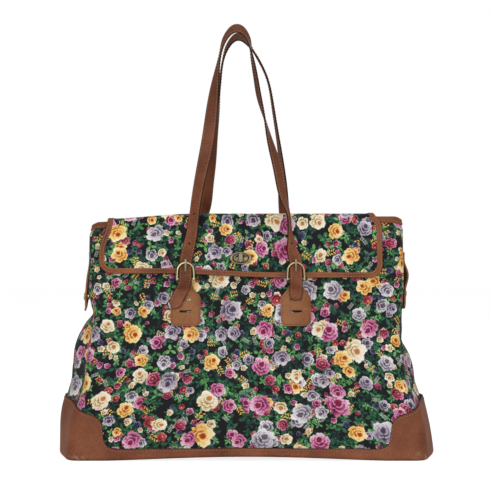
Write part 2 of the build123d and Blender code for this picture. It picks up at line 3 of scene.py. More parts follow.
import bmesh
import bpy
import numpy as np
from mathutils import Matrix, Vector


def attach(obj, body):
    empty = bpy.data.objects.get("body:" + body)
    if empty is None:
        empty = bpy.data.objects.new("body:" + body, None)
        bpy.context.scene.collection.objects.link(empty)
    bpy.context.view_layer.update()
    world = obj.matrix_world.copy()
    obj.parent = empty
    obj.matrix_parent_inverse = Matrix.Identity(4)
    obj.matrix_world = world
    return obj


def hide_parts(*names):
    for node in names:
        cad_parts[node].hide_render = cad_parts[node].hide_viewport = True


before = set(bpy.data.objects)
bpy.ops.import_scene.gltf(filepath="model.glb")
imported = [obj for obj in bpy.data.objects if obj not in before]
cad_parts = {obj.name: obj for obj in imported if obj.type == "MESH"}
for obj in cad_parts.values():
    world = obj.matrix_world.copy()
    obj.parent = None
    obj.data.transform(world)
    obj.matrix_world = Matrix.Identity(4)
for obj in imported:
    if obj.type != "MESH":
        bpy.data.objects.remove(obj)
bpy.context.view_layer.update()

# Driving dimensions in millimetres, as in the part; pieces are turned into metres when they are made
MM = 0.001
BODY_HEIGHT = 334.0
BASE_LENGTH, BASE_DEPTH = 530.0, 210.0
MOUTH_LENGTH, MOUTH_DEPTH = 436.0, 98.0
CORNER = 20.0
PUFF = 15.0
CANVAS = 2.2
BOOT_LEATHER = 1.5
SHIFT = -8.5
FLAP_LENGTH, FLAP_NECK, FLAP_CORNER = 394.0, 372.0, 19.0
FLAP_DROP, FLAP_REAR_DROP, FLAP_GAP, FLAP_FABRIC = 81.0, 44.0, 2.8, 2.0
LOCK_DROP = 59.0
STRAP_WIDTH, STRAP_THICK = 18.0, 2.6
BUCKLE_PITCH, BUCKLE_DROP, HANDLE_RISE = 153.0, 89.0, 270.0
OVER_BAR, UNDER_ARCH = 15.55, 7.4
ON_TAB = 3.95
SLOT_DROPS = (27.7, 44.2)
TAB_WIDTH, TAB_NECK, TAB_DROP, TAB_CORNER = 41.5, 17.0, 64.5, 8.0
TAB_SHOULDER, TAB_SHOULDER_END = 8.5, 24.5
# Rows of stitches: pitch, length and thickness; and how far they lie inside an edge
BOOT_STITCH, MOUTH_STITCH, FLAP_STITCH = (4.2, 3.0, 0.9), (4.0, 2.6, 0.8), (3.7, 2.7, 0.75)
STRAP_STITCH, TAB_STITCH, STITCH_INSET = (4.4, 2.9, 0.7), (2.9, 2.4, 0.7), 2.2
# Boot: radius of its lower edge, its wall, the arch of its base, and how far the panels reach down inside it
BOOT_TURN = 4.5
ARCH_RISE, ARCH_HALF = 5.4, 195.0
BOOT_WALL, BOOT_LAP = 2.0, 8
# How far the print of the rear panel and of the flap lies from that of the front panel; the flap cloth's margin
REAR_PRINT, FLAP_PRINT, FLAP_MARGIN = 900.0, 1700.0, 0.8
SIDES = {"front": -1, "rear": 1}
HANDS = {"left": -BUCKLE_PITCH / 2, "right": BUCKLE_PITCH / 2}
LEAN = (BASE_DEPTH - MOUTH_DEPTH) / 2 / BODY_HEIGHT
TILT = atan(LEAN)

# Body sections from the base up: share of the height, flare of the corners, reach of the left and the
# right gusset as shares of the puff, belly of front and back
SECTIONS = np.array((
    (0.00, 1.00, 1.00, 1.00, 0.0),
    (0.06, 0.95, 1.10, 0.95, 2.0),
    (0.20, 0.69, 1.47, 0.90, 6.0),
    (0.33, 0.25, 1.53, 1.07, 7.0),
    (0.435, 0.03, 1.60, 0.60, 3.0),
    (0.525, 0.00, 1.27, -0.35, 0.0),
    (0.615, 0.00, 0.07, -0.80, 0.0),
    (0.75, 0.00, -1.20, -1.20, 0.0),
    (1.03, 0.00, -1.95, -1.95, 0.0),
))

# Front view of the boot's upper edge, from the middle to the shoulder
BOOT_EDGE = np.array((
    (0, 17.2), (110, 16.6), (160, 16.9), (178, 17.8), (187, 22), (192, 31), (195.5, 45), (201, 55.5), (213, 62),
    (231, 68.5), (246, 77), (262, 82), (280, 83),
))

# Handles above the mouth: share of the rise, share of the half pitch, share of the mouth's half depth, turn
FRONT_LOOP = (
    (0.015, -0.84, 1.34, 52), (0.19, -0.75, 1.02, 60), (0.39, -0.615, 0.78, 82), (0.59, -0.525, 0.53, 62),
    (0.76, -0.45, 0.33, 25), (0.89, -0.36, 0.25, 10), (0.967, -0.245, 0.23, 30), (1.00, -0.07, 0.22, 50),
    (0.963, 0.10, 0.23, 28), (0.89, 0.18, 0.25, 4), (0.74, 0.275, 0.33, -16), (0.64, 0.335, 0.45, -18),
    (0.52, 0.44, 0.59, 0), (0.41, 0.53, 0.73, 24), (0.245, 0.68, 0.96, 44), (0.08, 0.79, 1.26, 30),
    (0.00, 0.87, 1.42, 14),
)
REAR_LOOP = (
    (0.015, -0.74, 1.36, 55), (0.17, -0.635, 1.02, 62), (0.30, -0.57, 0.88, 50), (0.40, -0.525, 0.76, 35),
    (0.61, -0.425, 0.51, 5), (0.75, -0.385, 0.35, -5), (0.87, -0.31, 0.25, -8), (0.935, -0.20, 0.20, -25),
    (0.965, -0.05, 0.18, -45), (0.94, 0.10, 0.20, -25), (0.90, 0.21, 0.23, -8), (0.83, 0.36, 0.28, 0),
    (0.75, 0.49, 0.34, 0), (0.61, 0.60, 0.53, 5), (0.47, 0.68, 0.67, 8), (0.27, 0.78, 0.90, 25),
    (0.08, 0.82, 1.22, 55),
)

# Ends of the handles: height above the heel bar, shift outwards, height off the face, turn, share of width
TUCKED_TAIL = (
    (-SLOT_DROPS[0], 0, 0.9, 90, 0.72), (-SLOT_DROPS[0], 0, 3.2, 90, 0.75),
    (2.6 - SLOT_DROPS[0], 0, ON_TAB + 1.9, 90, 0.86), (9 - SLOT_DROPS[0], 0, ON_TAB + 1.2, 90, 1),
    (-14, 0, ON_TAB + 2.2, 90, 1), (-9, 0, OVER_BAR - 3.9, 90, 1), (-4, 0, OVER_BAR - 0.7, 90, 1),
)
LOOSE_TAIL = (
    (-40.8, 17.2, ON_TAB + 2.2, 90, 0.4), (-38.3, 16.1, ON_TAB + 2.2, 90, 0.72),
    (-34, 14.4, ON_TAB + 2.2, 90, 1), (-24, 9.8, ON_TAB + 2.2, 90, 1), (-14, 4.8, ON_TAB + 2.3, 90, 1),
    (-9, 2.4, OVER_BAR - 3.9, 90, 1), (-4, 0.8, OVER_BAR - 0.7, 90, 1),
)
THROUGH_BUCKLE = (
    (0, 0, OVER_BAR, 90, 1), (5, 0, OVER_BAR - 0.8, 90, 1), (10.5, 0, UNDER_ARCH + 3.4, 90, 1),
    (15.5, 0, UNDER_ARCH + 0.4, 90, 1), (20, 0, UNDER_ARCH, 90, 1), (25, 0, UNDER_ARCH, 90, 1),
)
FLAT_RISE = (
    (37, -2.5, UNDER_ARCH + 1.5, 86, 1), (49.5, -5.6, UNDER_ARCH + 3.2, 74, 1),
    (66, -9.0, UNDER_ARCH + 4.8, 62, 1),
)
TURNED_RISE = (
    (37, -4.4, UNDER_ARCH + 3.6, 62, 1), (49.5, -6.4, UNDER_ARCH + 6.4, 40, 1),
    (66, -8.4, UNDER_ARCH + 8.2, 20, 1),
)

# Lock plate from its outer foot over the rim and the hollow to its inner foot: half length, half height, lift
LOCK_PLATE = np.array((
    (15.0, 8.5, 0.0), (15.2, 8.7, 0.5), (14.8, 8.4, 1.2), (14.0, 7.8, 1.7), (12.9, 7.2, 1.6),
    (12.0, 6.7, 1.15), (11.4, 6.3, 1.05), (10.6, 6.0, 1.15), (10.1, 5.9, 1.9), (9.6, 5.7, 2.5),
    (8.9, 5.25, 2.6), (8.3, 4.75, 2.2), (8.0, 4.45, 1.2), (8.0, 4.45, 0.0),
))

# Lights: place and aim in metres, size in metres, power in watts; then the camera, floor and world
LIGHTS = (
    ("key", (-0.9, -2.7, 1.5), (0, 0, 0.22), (1.6, 1.6), 28),
    ("fill", (1.2, -2.4, 1.0), (0, 0, 0.2), (1.5, 1.5), 15),
    ("back", (0.5, 2.7, 1.5), (0, 0, 0.22), (1.6, 1.6), 20),
    ("top", (0.1, -0.3, 2.2), (0, 0, 0.2), (1.6, 1.2), 10),
)
CAMERA_PLACE, FOCAL_LENGTH, SENSOR_WIDTH = (-0.0026, -2.2, 0.295), 112.8, 36.0
WHITE, PAPER = (1, 1, 1, 1), (0.86, 0.86, 0.86, 1)
FLOOR_HALF, FLOOR_GLOW, GLOW_SHARE = 9000, 1.31, 0.65
WORLD_LIGHT, WORLD_SEEN = 0.46, 1.0


# Curves and grids

def fade(low, high, value):
    """0 below low, 1 above high, and 3t^2 - 2t^3 between."""
    part = np.clip((value - low) / (high - low), 0, 1)
    return part * part * (3 - 2 * part)


def smooth_curve(places, values, wanted, ends=None):
    """Cubic spline through values at places, read at wanted: natural, or with the given end slopes."""
    places, values = np.asarray(places, float), np.asarray(values, float)
    values = values.reshape(len(places), -1)
    gap = np.diff(places)
    slope = np.diff(values, axis=0) / gap[:, None]
    system = np.diag(np.r_[1.0, 2 * (gap[:-1] + gap[1:]), 1.0])
    inner = np.arange(1, len(places) - 1)
    system[inner, inner - 1], system[inner, inner + 1] = gap[:-1], gap[1:]
    right = np.zeros_like(values)
    right[1:-1] = 6 * np.diff(slope, axis=0)
    if ends is not None:
        system[0, :2] = 2 * gap[0], gap[0]
        system[-1, -2:] = gap[-1], 2 * gap[-1]
        right[0], right[-1] = 6 * (slope[0] - ends[0]), 6 * (ends[1] - slope[-1])
    bend = np.linalg.solve(system, right)
    at = np.clip(np.searchsorted(places, wanted) - 1, 0, len(gap) - 1)
    width = gap[at][:, None]
    after = (wanted - places[at])[:, None]
    before = width - after
    return (
        (bend[at] * before ** 3 + bend[at + 1] * after ** 3) / (6 * width)
        + (values[at] / width - bend[at] * width / 6) * before
        + (values[at + 1] / width - bend[at + 1] * width / 6) * after
    )


def unit(vectors):
    """Vectors scaled to length one."""
    return vectors / np.maximum(np.linalg.norm(vectors, axis=-1, keepdims=True), 1e-9)


def travelled(points):
    """Distance along a row of points, from 0 at the first."""
    return np.r_[0, np.cumsum(np.linalg.norm(np.diff(points, axis=0), axis=1))]


def read_along(way, points, wanted):
    """Points read at wanted distances along a row of points."""
    return np.stack([np.interp(wanted, way, column) for column in points.T], axis=-1)


def circle(count):
    """Angles of places spread evenly round a circle."""
    return np.linspace(0, 2 * pi, count, endpoint=False)


def pressed(value, power):
    """sign(value) |value|^power: squares off a section made of cosines and sines."""
    return np.sign(value) * np.abs(value) ** power


def waves(seed, count, lowest, highest):
    """Seeded sum of plane waves: a function of x and z with values of about -1 to 1."""
    chance = np.random.default_rng(seed)
    turn = chance.uniform(0, 2 * pi, count)
    pace = 2 * pi / chance.uniform(lowest, highest, count)
    start = chance.uniform(0, 2 * pi, count)

    def field(x, z):
        total = 0
        for one in range(count):
            total = total + np.sin(pace[one] * (x * cos(turn[one]) + z * sin(turn[one])) + start[one])
        return total / count ** 0.5
    return field


def grid_faces(rows, columns, ring_rows=False, ring_columns=False):
    """Quads of a grid of points, row by row, closed round where asked."""
    row = np.arange(rows if ring_rows else rows - 1)[:, None]
    column = np.arange(columns if ring_columns else columns - 1)[None, :]
    next_row, next_column = (row + 1) % rows, (column + 1) % columns
    quads = np.stack([
        row * columns + column, row * columns + next_column,
        next_row * columns + next_column, next_row * columns + column,
    ], axis=-1)
    return quads.reshape(-1, 4)


def capped_tube(rings):
    """Points and faces of rings of points carried along a path, closed at each end."""
    count, around = rings.shape[:2]
    faces = grid_faces(count, around, ring_columns=True).tolist()
    last = (count - 1) * around
    faces += [list(range(around - 1, -1, -1)), list(range(last, last + around))]
    return rings.reshape(-1, 3), faces


def make_piece(name, points, faces, material, uv=None):
    """Smooth mesh object on the bag from points in millimetres, with UVs in metres per point where given."""
    mesh = bpy.data.meshes.new(name)
    mesh.from_pydata((np.asarray(points).reshape(-1, 3) * MM).tolist(), [], [list(face) for face in faces])
    if uv is not None:
        layer = mesh.uv_layers.new(name="cloth")
        corners = np.empty(len(mesh.loops), np.int32)
        mesh.loops.foreach_get("vertex_index", corners)
        layer.data.foreach_set("uv", (np.asarray(uv).reshape(-1, 2) * MM)[corners].ravel())
    mesh.validate()
    mesh.update()
    mesh.polygons.foreach_set("use_smooth", np.ones(len(mesh.polygons), bool))
    piece = bpy.data.objects.new(name, mesh)
    bpy.context.scene.collection.objects.link(piece)
    for one in material if isinstance(material, list) else [material]:
        mesh.materials.append(one)
    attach(piece, "bag")
    return piece


def outwards(piece):
    """Turn a closed piece's faces to point out of it."""
    work = bmesh.new()
    work.from_mesh(piece.data)
    bmesh.ops.remove_doubles(work, verts=work.verts, dist=1e-6)
    bmesh.ops.recalc_face_normals(work, faces=work.faces)
    work.to_mesh(piece.data)
    work.free()
    return piece


def thicken(piece, thickness, inside=0, rim=0):
    """Give a skin its thickness inwards, with other materials on its inside and its cut edge where given."""
    wall = piece.modifiers.new("wall", "SOLIDIFY")
    wall.thickness = thickness * MM
    wall.offset = -1
    wall.use_even_offset = False
    wall.material_offset = inside
    wall.material_offset_rim = rim
    return piece


def softened(node, material, bevel, body="bag"):
    """Copy of a hard node with its sharp edges rounded, in place of the node."""
    piece = bpy.data.objects.new(node + "_finished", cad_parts[node].data.copy())
    bpy.context.scene.collection.objects.link(piece)
    work = bmesh.new()
    work.from_mesh(piece.data)
    bmesh.ops.remove_doubles(work, verts=work.verts, dist=2e-6)
    bmesh.ops.dissolve_limit(work, angle_limit=radians(1), verts=work.verts, edges=work.edges)
    work.to_mesh(piece.data)
    work.free()
    piece.data.materials.clear()
    piece.data.materials.append(material)
    piece.data.polygons.foreach_set("material_index", np.zeros(len(piece.data.polygons), np.int32))
    piece.data.polygons.foreach_set("use_smooth", np.ones(len(piece.data.polygons), bool))
    rounding = piece.modifiers.new("rounding", "BEVEL")
    rounding.width = bevel * MM
    rounding.segments = 3
    rounding.limit_method = "ANGLE"
    rounding.angle_limit = radians(35)
    rounding.use_clamp_overlap = True
    shading = piece.modifiers.new("shading", "WEIGHTED_NORMAL")
    shading.keep_sharp = True
    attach(piece, body)
    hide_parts(node)
    return piece


# Materials

def tint(red, green, blue):
    """Linear colour of a colour seen on a screen, from 0 to 255."""
    seen = np.array((red, green, blue)) / 255
    linear = np.where(seen <= 0.04045, seen / 12.92, ((seen + 0.055) / 1.055) ** 2.4)
    return (*linear.tolist(), 1.0)


def shades(*colours):
    """Linear colours of several colours seen on a screen."""
    return [tint(*colour) for colour in colours]


def blend_of(*stops):
    """Stops of a colour ramp: each a place from 0 to 1 and a colour seen on a screen."""
    return [(place, tint(*colour)) for place, colour in stops]


class Value:
    """A number or vector in a material: arithmetic on it adds the nodes that work it out."""

    def __init__(self, finish, socket):
        self.finish, self.socket = finish, socket

    def math(self, operation, second=None, third=None):
        return self.finish.node("Math", {0: self, 1: second, 2: third}, operation=operation)

    def __add__(self, other):
        return self.math("ADD", other)

    def __sub__(self, other):
        return self.math("SUBTRACT", other)

    def __rsub__(self, other):
        return self.finish.node("Math", {0: other, 1: self}, operation="SUBTRACT")

    def __mul__(self, other):
        return self.math("MULTIPLY", other)

    def __truediv__(self, other):
        return self.math("DIVIDE", other)

    def __pow__(self, other):
        return self.math("POWER", other)

    def __abs__(self):
        return self.math("ABSOLUTE")

    def sine(self):
        return self.math("SINE")

    def cosine(self):
        return self.math("COSINE")


class Finish:
    """A material being made: each method adds a node and hands back its output."""

    def __init__(self, name):
        self.material = bpy.data.materials.new(name)
        self.material.use_nodes = True
        self.tree = self.material.node_tree
        self.shader = self.tree.nodes["Principled BSDF"]

    def feed(self, socket, value):
        if isinstance(value, Value):
            self.tree.links.new(value.socket, socket)
        elif value is not None:
            socket.default_value = value

    def node(self, kind, inputs, output=0, **settings):
        made = self.tree.nodes.new("ShaderNode" + kind)
        for key, value in settings.items():
            setattr(made, key, value)
        for key, value in inputs.items():
            self.feed(made.inputs[key], value)
        return Value(self, made.outputs[output])

    def parts(self, value, kind="SeparateXYZ"):
        """The three numbers of a vector, or of a colour with SeparateColor."""
        outputs = self.node(kind, {0: value}).socket.node.outputs
        return [Value(self, outputs[index]) for index in range(3)]

    def vector(self, operation, first, second=None, scale=None, output=0):
        inputs = {0: first, 1: second}
        if scale is not None:
            inputs["Scale"] = scale
        return self.node("VectorMath", inputs, output, operation=operation)

    def length(self, vector):
        return self.vector("LENGTH", vector, output="Value")

    def mix(self, factor, low, high, way="MIX"):
        return self.node("Mix", {0: factor, 6: low, 7: high}, 2, data_type="RGBA", blend_type=way)

    def step(self, value, low, high, bottom=0.0, top=1.0):
        """Smooth change from bottom to top as value goes from low to high."""
        inputs = {0: value, 1: low, 2: high, 3: bottom, 4: top}
        return self.node("MapRange", inputs, interpolation_type="SMOOTHSTEP")

    def ramp(self, factor, stops, interpolation="LINEAR"):
        made = self.node("ValToRGB", {0: factor})
        scale = made.socket.node.color_ramp
        scale.interpolation = interpolation
        while len(scale.elements) < len(stops):
            scale.elements.new(0.5)
        for element, (place, colour) in zip(scale.elements, stops):
            element.position, element.color = place, colour
        return made

    def noise(self, place, scale, detail, roughness=0.5, output=0, distortion=0.0):
        inputs = {
            "Vector": place, "Scale": scale, "Detail": detail, "Roughness": roughness, "Distortion": distortion,
        }
        return self.node("TexNoise", inputs, output)

    def place(self):
        """Place on the object, in millimetres."""
        return self.vector("SCALE", self.node("TexCoord", {}, "Object"), scale=1 / MM)

    def cloth(self):
        """Place on the cloth, in millimetres along its threads."""
        return self.vector("SCALE", self.node("UVMap", {}, uv_map="cloth"), scale=1 / MM)

    def bump(self, height, distance, strength):
        return self.node("Bump", {"Height": height, "Distance": distance * MM, "Strength": strength})

    def finish(self, colour, roughness, normal, **constants):
        for key, value in (("Base Color", colour), ("Roughness", roughness), ("Normal", normal)):
            self.feed(self.shader.inputs[key], value)
        for key, value in constants.items():
            self.shader.inputs[key.replace("_", " ")].default_value = value
        return self.material


class Motifs:
    """Motifs scattered over the cloth, one to a cell, each turned its own way and stretched along itself."""

    def __init__(self, finish, cloth, cell, shift, jitter=0.75):
        self.finish = finish
        scaled = finish.vector("SCALE", finish.vector("ADD", cloth, (shift, shift * 0.37, 0.0)), scale=1 / cell)
        inputs = {"Vector": scaled, "Scale": 1.0, "Randomness": jitter}
        cells = finish.node("TexVoronoi", inputs, voronoi_dimensions="2D").socket.node.outputs
        self.chance, self.kind, self.size = finish.parts(Value(finish, cells["Color"]), "SeparateColor")
        offset = finish.vector("SUBTRACT", scaled, Value(finish, cells["Position"]))
        local = finish.vector("SCALE", offset, scale=cell)
        placed = {"Vector": local, "Angle": self.chance * 17.0}
        turned = finish.node("VectorRotate", placed, rotation_type="Z_AXIS")
        stretch = finish.node("CombineXYZ", {0: self.chance * 0.34 + 0.92, 1: 1.0})
        self.local = finish.vector("MULTIPLY", turned, stretch)
        self.x, self.y, _ = finish.parts(self.local)

    def seen(self, value, share):
        """Keep only a share of the motifs."""
        return value * self.size.math("LESS_THAN", share)


def bloom(finish, motifs, radius, palette, share, rings):
    """A rose: rings of petals, each ring's rim at reach * (0.76 + 0.24 |cos(petals * angle / 2)|^0.6), and each
    petal darkest at its root and where it meets the next; returns mask and colour."""
    grown = motifs.size * (0.55 / share) + 0.70
    wander = finish.noise(motifs.local, 0.16, 2.0) * 0.60 + 0.70
    streak = finish.noise(motifs.local, 0.95, 2.0, 0.6)
    reached = grown * wander * radius
    tone = None
    for number, (reach, petals) in enumerate(rings):
        centred = finish.vector("SUBTRACT", motifs.local, (0.0, 0.11 * number * radius, 0.0))
        x, y, _ = finish.parts(centred)
        out = finish.length(centred) / reached
        shift = motifs.chance * (9.0 + 4.0 * number) + 1.9 * number
        lobe = abs((y.math("ARCTAN2", x) * (petals / 2) + shift).cosine())
        depth = out / (lobe ** 0.6 * (0.24 * reach) + 0.76 * reach)
        light = finish.step(depth, 0.42, 1.02) - finish.step(lobe, 0.0, 0.34, 0.42, 0.0)
        inside = finish.step(depth, 0.94, 1.02, 1.0, 0.0)
        if tone is None:
            tone, mask = light, inside
        else:
            tone = (light - tone) * inside + tone
    tone = tone + (motifs.y * (0.30 / radius) - 0.06) + (streak * 1.1 - 0.55)
    places = [index / len(palette) for index in range(len(palette))]
    dark, middle, pale, white, heart = [
        finish.ramp(motifs.kind, list(zip(places, colours)), "CONSTANT") for colours in zip(*palette)
    ]
    colour = finish.mix(finish.step(tone, -0.05, 0.30), dark, middle)
    colour = finish.mix(finish.step(tone, 0.36, 0.68), colour, pale)
    colour = finish.mix(finish.step(tone, 0.80, 1.05), colour, white)
    colour = finish.mix(finish.step(out + streak * 0.30, 0.26, 0.40, 0.9, 0.0), colour, heart)
    return motifs.seen(mask, share), colour


def leaves(finish, motifs, length, width, stops, share, fan):
    """A fan of pointed leaves: the angle is folded into equal sectors, and in each a leaf's half width is
    width * (1 - (x / length - 1.05)^2), with small teeth and a pale midrib; returns mask and colour."""
    folded = motifs.y.math("ARCTAN2", motifs.x).math("WRAP", pi / fan, -pi / fan)
    radius = finish.length(motifs.local)
    x, y = radius * folded.cosine(), radius * folded.sine()
    along = x * (1 / length) - 1.05
    half = (1.0 - along * along) * width + (x * 4.2).sine() * (0.14 * width)
    off = abs(y)
    mask = finish.step(half - off, 0.0, 0.25)
    vein = (off * 3.4 + x * -2.8).sine()
    light = vein * 0.22 + motifs.kind * 0.8 + finish.step(off, 0.05, 0.4, 0.30, 0.0)
    light = light + finish.step(y, -0.3, 0.3) * 0.22 + (finish.noise(motifs.local, 0.8, 2.0) * 0.8 - 0.4)
    return motifs.seen(mask, share), finish.ramp(light, stops)


def grains(finish, motifs, length, pitch, stops, share, stem):
    """A sprig: paired slanting grains at an even pitch along a line, each an ellipse, with a stem of the given
    half width where it isn't 0; returns mask and colour."""
    off = abs(motifs.y)
    along = (off * -0.55 + motifs.x).math("WRAP", pitch / 2, -pitch / 2)
    first = (along / (0.27 * pitch)) ** 2.0
    second = ((off - 0.66 * pitch) / (0.50 * pitch)) ** 2.0
    mask = finish.step(first + second, 0.75, 1.1, 1.0, 0.0)
    if stem:
        mask = mask.math("MAXIMUM", finish.step(off, stem, stem + 0.15, 1.0, 0.0))
    mask = mask * finish.step(abs(motifs.x), length - 0.3, length, 1.0, 0.0)
    light = second * -0.35 + finish.noise(motifs.local, 0.7, 1.0) + 0.15
    return motifs.seen(mask, share), finish.ramp(light, stops)


def weave(finish, cloth, pitch, depth):
    """Plain weave: crossed threads |sin(pi x / pitch) sin(pi y / pitch)|; returns its bump and the crossing."""
    x, y, _ = finish.parts(cloth)
    crossed = abs((x * (pi / pitch)).sine() * (y * (pi / pitch)).sine())
    return finish.bump(1.0 - crossed, depth, 0.6), crossed


# Colours of the print: leaves, grains and sprigs, then flowers from their darkest to their whitest and the heart
DEEP = blend_of((0.0, (12, 30, 30)), (0.4, (22, 58, 50)), (0.75, (34, 84, 64)), (1.0, (64, 118, 84)))
MID = blend_of((0.0, (14, 46, 34)), (0.35, (36, 98, 56)), (0.7, (74, 142, 76)), (1.0, (130, 186, 112)))
GOLD = blend_of((0.0, (196, 128, 52)), (0.4, (232, 172, 82)), (1.0, (246, 214, 132)))
CHALK = blend_of((0.0, (112, 128, 116)), (0.5, (182, 190, 176)), (1.0, (230, 230, 218)))
ROSE = shades((88, 18, 52), (166, 58, 110), (214, 138, 176), (238, 212, 222), (142, 24, 48))
WINE = shades((70, 10, 30), (140, 30, 66), (190, 84, 122), (226, 170, 186), (214, 120, 84))
MAUVE = shades((48, 42, 58), (120, 106, 128), (182, 170, 184), (226, 220, 222), (72, 58, 78))
SMOKE = shades((58, 54, 68), (142, 134, 148), (206, 200, 206), (238, 234, 232), (120, 84, 110))
YELLOW = shades((164, 82, 30), (222, 156, 66), (246, 208, 128), (250, 236, 192), (158, 38, 24))
CREAM = shades((150, 112, 66), (222, 198, 150), (240, 228, 202), (248, 242, 228), (206, 110, 44))
CRIMSON = shades((84, 10, 26), (150, 30, 52), (196, 76, 92), (226, 150, 140), (240, 196, 96))
BLUE = shades((22, 22, 46), (50, 48, 84), (84, 82, 118), (150, 146, 168), (30, 28, 56))

# Layers of the print from the ground up. Each row is the cell and the shift of its motifs in millimetres, then
# leaves: length, half width, colours, share of cells, leaves in a fan
LEAVES = (
    (17.0, 3.0, 4.6, 2.6, DEEP, 0.80, 3),
    (13.0, 47.0, 3.7, 1.9, DEEP, 0.58, 4),
    (19.0, 91.0, 4.4, 2.2, MID, 0.62, 3),
    (12.0, 143.0, 2.8, 1.4, MID, 0.44, 4),
)
# grains: half length, pitch, colours, share of cells, half width of the stem
GRAINS = (
    (27.0, 512.0, 6.6, 3.3, GOLD, 0.60, 0.0),
    (25.0, 188.0, 5.8, 2.3, CHALK, 0.46, 0.14),
)
# flowers: jitter, radius, colours by kind, share of cells, rings of petals as reach and count
FLOWERS = (
    (12.5, 277.0, 0.75, 4.3, (CRIMSON, BLUE, WINE, CREAM, ROSE), 0.46, ((1.0, 5), (0.45, 3))),
    (21.0, 331.0, 0.75, 8.2, (SMOKE, WINE, CREAM, CRIMSON, MAUVE, ROSE, YELLOW), 0.46, ((1.0, 5), (0.56, 4))),
    (34.0, 389.0, 0.70, 13.2, (ROSE, SMOKE, YELLOW, MAUVE, ROSE, CREAM), 0.64, ((1.0, 5), (0.7, 5), (0.42, 3))),
)


def printed_cloth():
    """Dark cotton with a scattered garden print: leaves, sprigs, small flowers, roses of like colours."""
    finish = Finish("garden_print_cotton")
    cloth = finish.cloth()
    drift = finish.vector("SUBTRACT", finish.noise(cloth, 0.30, 2.0, output=1), (0.5, 0.5, 0.5))
    drawn = finish.vector("ADD", cloth, finish.vector("SCALE", drift, scale=3.0))
    colour = finish.mix(finish.noise(cloth, 0.09, 2.0), tint(10, 10, 15), tint(22, 21, 27))
    motifs = [leaves(finish, Motifs(finish, drawn, cell, shift), *row) for cell, shift, *row in LEAVES]
    motifs += [grains(finish, Motifs(finish, drawn, cell, shift), *row) for cell, shift, *row in GRAINS]
    motifs += [
        bloom(finish, Motifs(finish, drawn, cell, shift, jitter), *row) for cell, shift, jitter, *row in FLOWERS
    ]
    for mask, inked in motifs:
        colour = finish.mix(mask, colour, inked)
    worn = finish.noise(cloth, 0.03, 3.0) * 0.22 + 0.80
    colour = finish.mix(1.0, colour, finish.node("CombineColor", {0: worn, 1: worn, 2: worn}), "MULTIPLY")
    normal, crossed = weave(finish, cloth, 0.55, 0.12)
    colour = finish.mix(crossed * 0.05, colour, tint(150, 146, 150))
    return finish.finish(colour, 0.82, normal, Sheen_Weight=0.04, Sheen_Roughness=0.5, Specular_IOR_Level=0.14)


def lining_cloth():
    """Plain grey-beige lining twill."""
    finish = Finish("lining_twill")
    cloth = finish.cloth()
    colour = finish.mix(finish.noise(cloth, 0.05, 3.0), tint(120, 116, 112), tint(150, 146, 140))
    return finish.finish(colour, 0.85, weave(finish, cloth, 0.6, 0.1)[0], Sheen_Weight=0.1)


def leather(name, tones, grain, roughness, wear=None, strap=0.0, holes=(), edge=None):
    """Leather: blotches of three shades, a pebbled grain of small cells, creases, pale wear where given, and on
    a strap a burnished rim, darker towards the top of a handle, a creased line along each edge and punched
    holes painted near black as the shade inside them. edge is the colour of the burnished upper edge and of the
    painted shade along it; the sewn groove below it is painted darker as its shade."""
    finish = Finish(name)
    place = finish.place()
    x, _, z = finish.parts(place)
    dark, middle, light = shades(*tones)
    tone = finish.noise(place, 0.35, 3.0, 0.6) * 0.35 + finish.noise(place, 0.018, 4.0, 0.55) * 0.85
    colour = finish.ramp(tone, [(0.34, dark), (0.56, middle), (0.80, light)])
    pebble = finish.node("TexVoronoi", {"Vector": place, "Scale": grain}, feature="SMOOTH_F1")
    height = pebble * -0.5 + finish.noise(place, 0.09, 5.0, 0.65, distortion=0.6) * 0.9
    colour = finish.mix(finish.step(pebble, 0.25, 0.75, 0.0, 0.28), colour, dark)
    if strap:
        cloth = finish.cloth()
        across = abs(finish.parts(cloth)[0])
        colour = finish.mix(finish.step(across, strap * 0.80, strap) * 0.75, colour, dark)
        # Darker towards the top of a handle, from 300 mm to 500 mm up.
        colour = finish.mix(finish.step(z, 300.0, 500.0, 0.0, 0.45), colour, dark)
        colour = finish.mix(finish.step(across, strap * 0.93, strap * 0.965), colour, tint(40, 19, 14))
        height = height + finish.step(across, strap * 0.70, strap * 0.78, 0.0, -0.5)
        for hole in holes:
            away = finish.length(finish.vector("SUBTRACT", cloth, (0.0, hole, 0.0)))
            punched = finish.step(away, 1.3, 1.7, 1.0, 0.0)
            # Punched holes painted near black as the shade inside them; the holes themselves are not cut.
            colour = finish.mix(punched, colour, tint(22, 12, 9))
            height = height - punched * 4.0
    if edge is not None:
        below = finish.parts(finish.cloth())[1]
        # Dark band along the boot's upper edge: its burnished edge colour together with painted shade along the
        # edge.
        colour = finish.mix(finish.step(below, 0.5, 1.9, 0.92, 0.0), colour, tint(*edge))
        groove = abs(below - 4.2)
        height = height + finish.step(groove, 0.3, 1.2, -1.0, 0.0)
        # Painted shade in the sewn groove below the edge.
        colour = finish.mix(finish.step(groove, 0.3, 1.4, 0.30, 0.0), colour, dark)
    if wear is not None:
        rubbed = finish.step(z, 3.0, 17.0, 1.0, 0.0) * finish.step(abs(x), 190.0, 250.0)
        rubbed = rubbed * finish.step(finish.noise(place, 0.12, 4.0, 0.7), 0.50, 0.72)
        colour = finish.mix(rubbed * 0.5, colour, tint(*wear))
    rough = finish.noise(place, 0.05, 3.0) * 0.22 + roughness
    return finish.finish(colour, rough, finish.bump(height, 0.35, 0.5), Specular_IOR_Level=0.18)


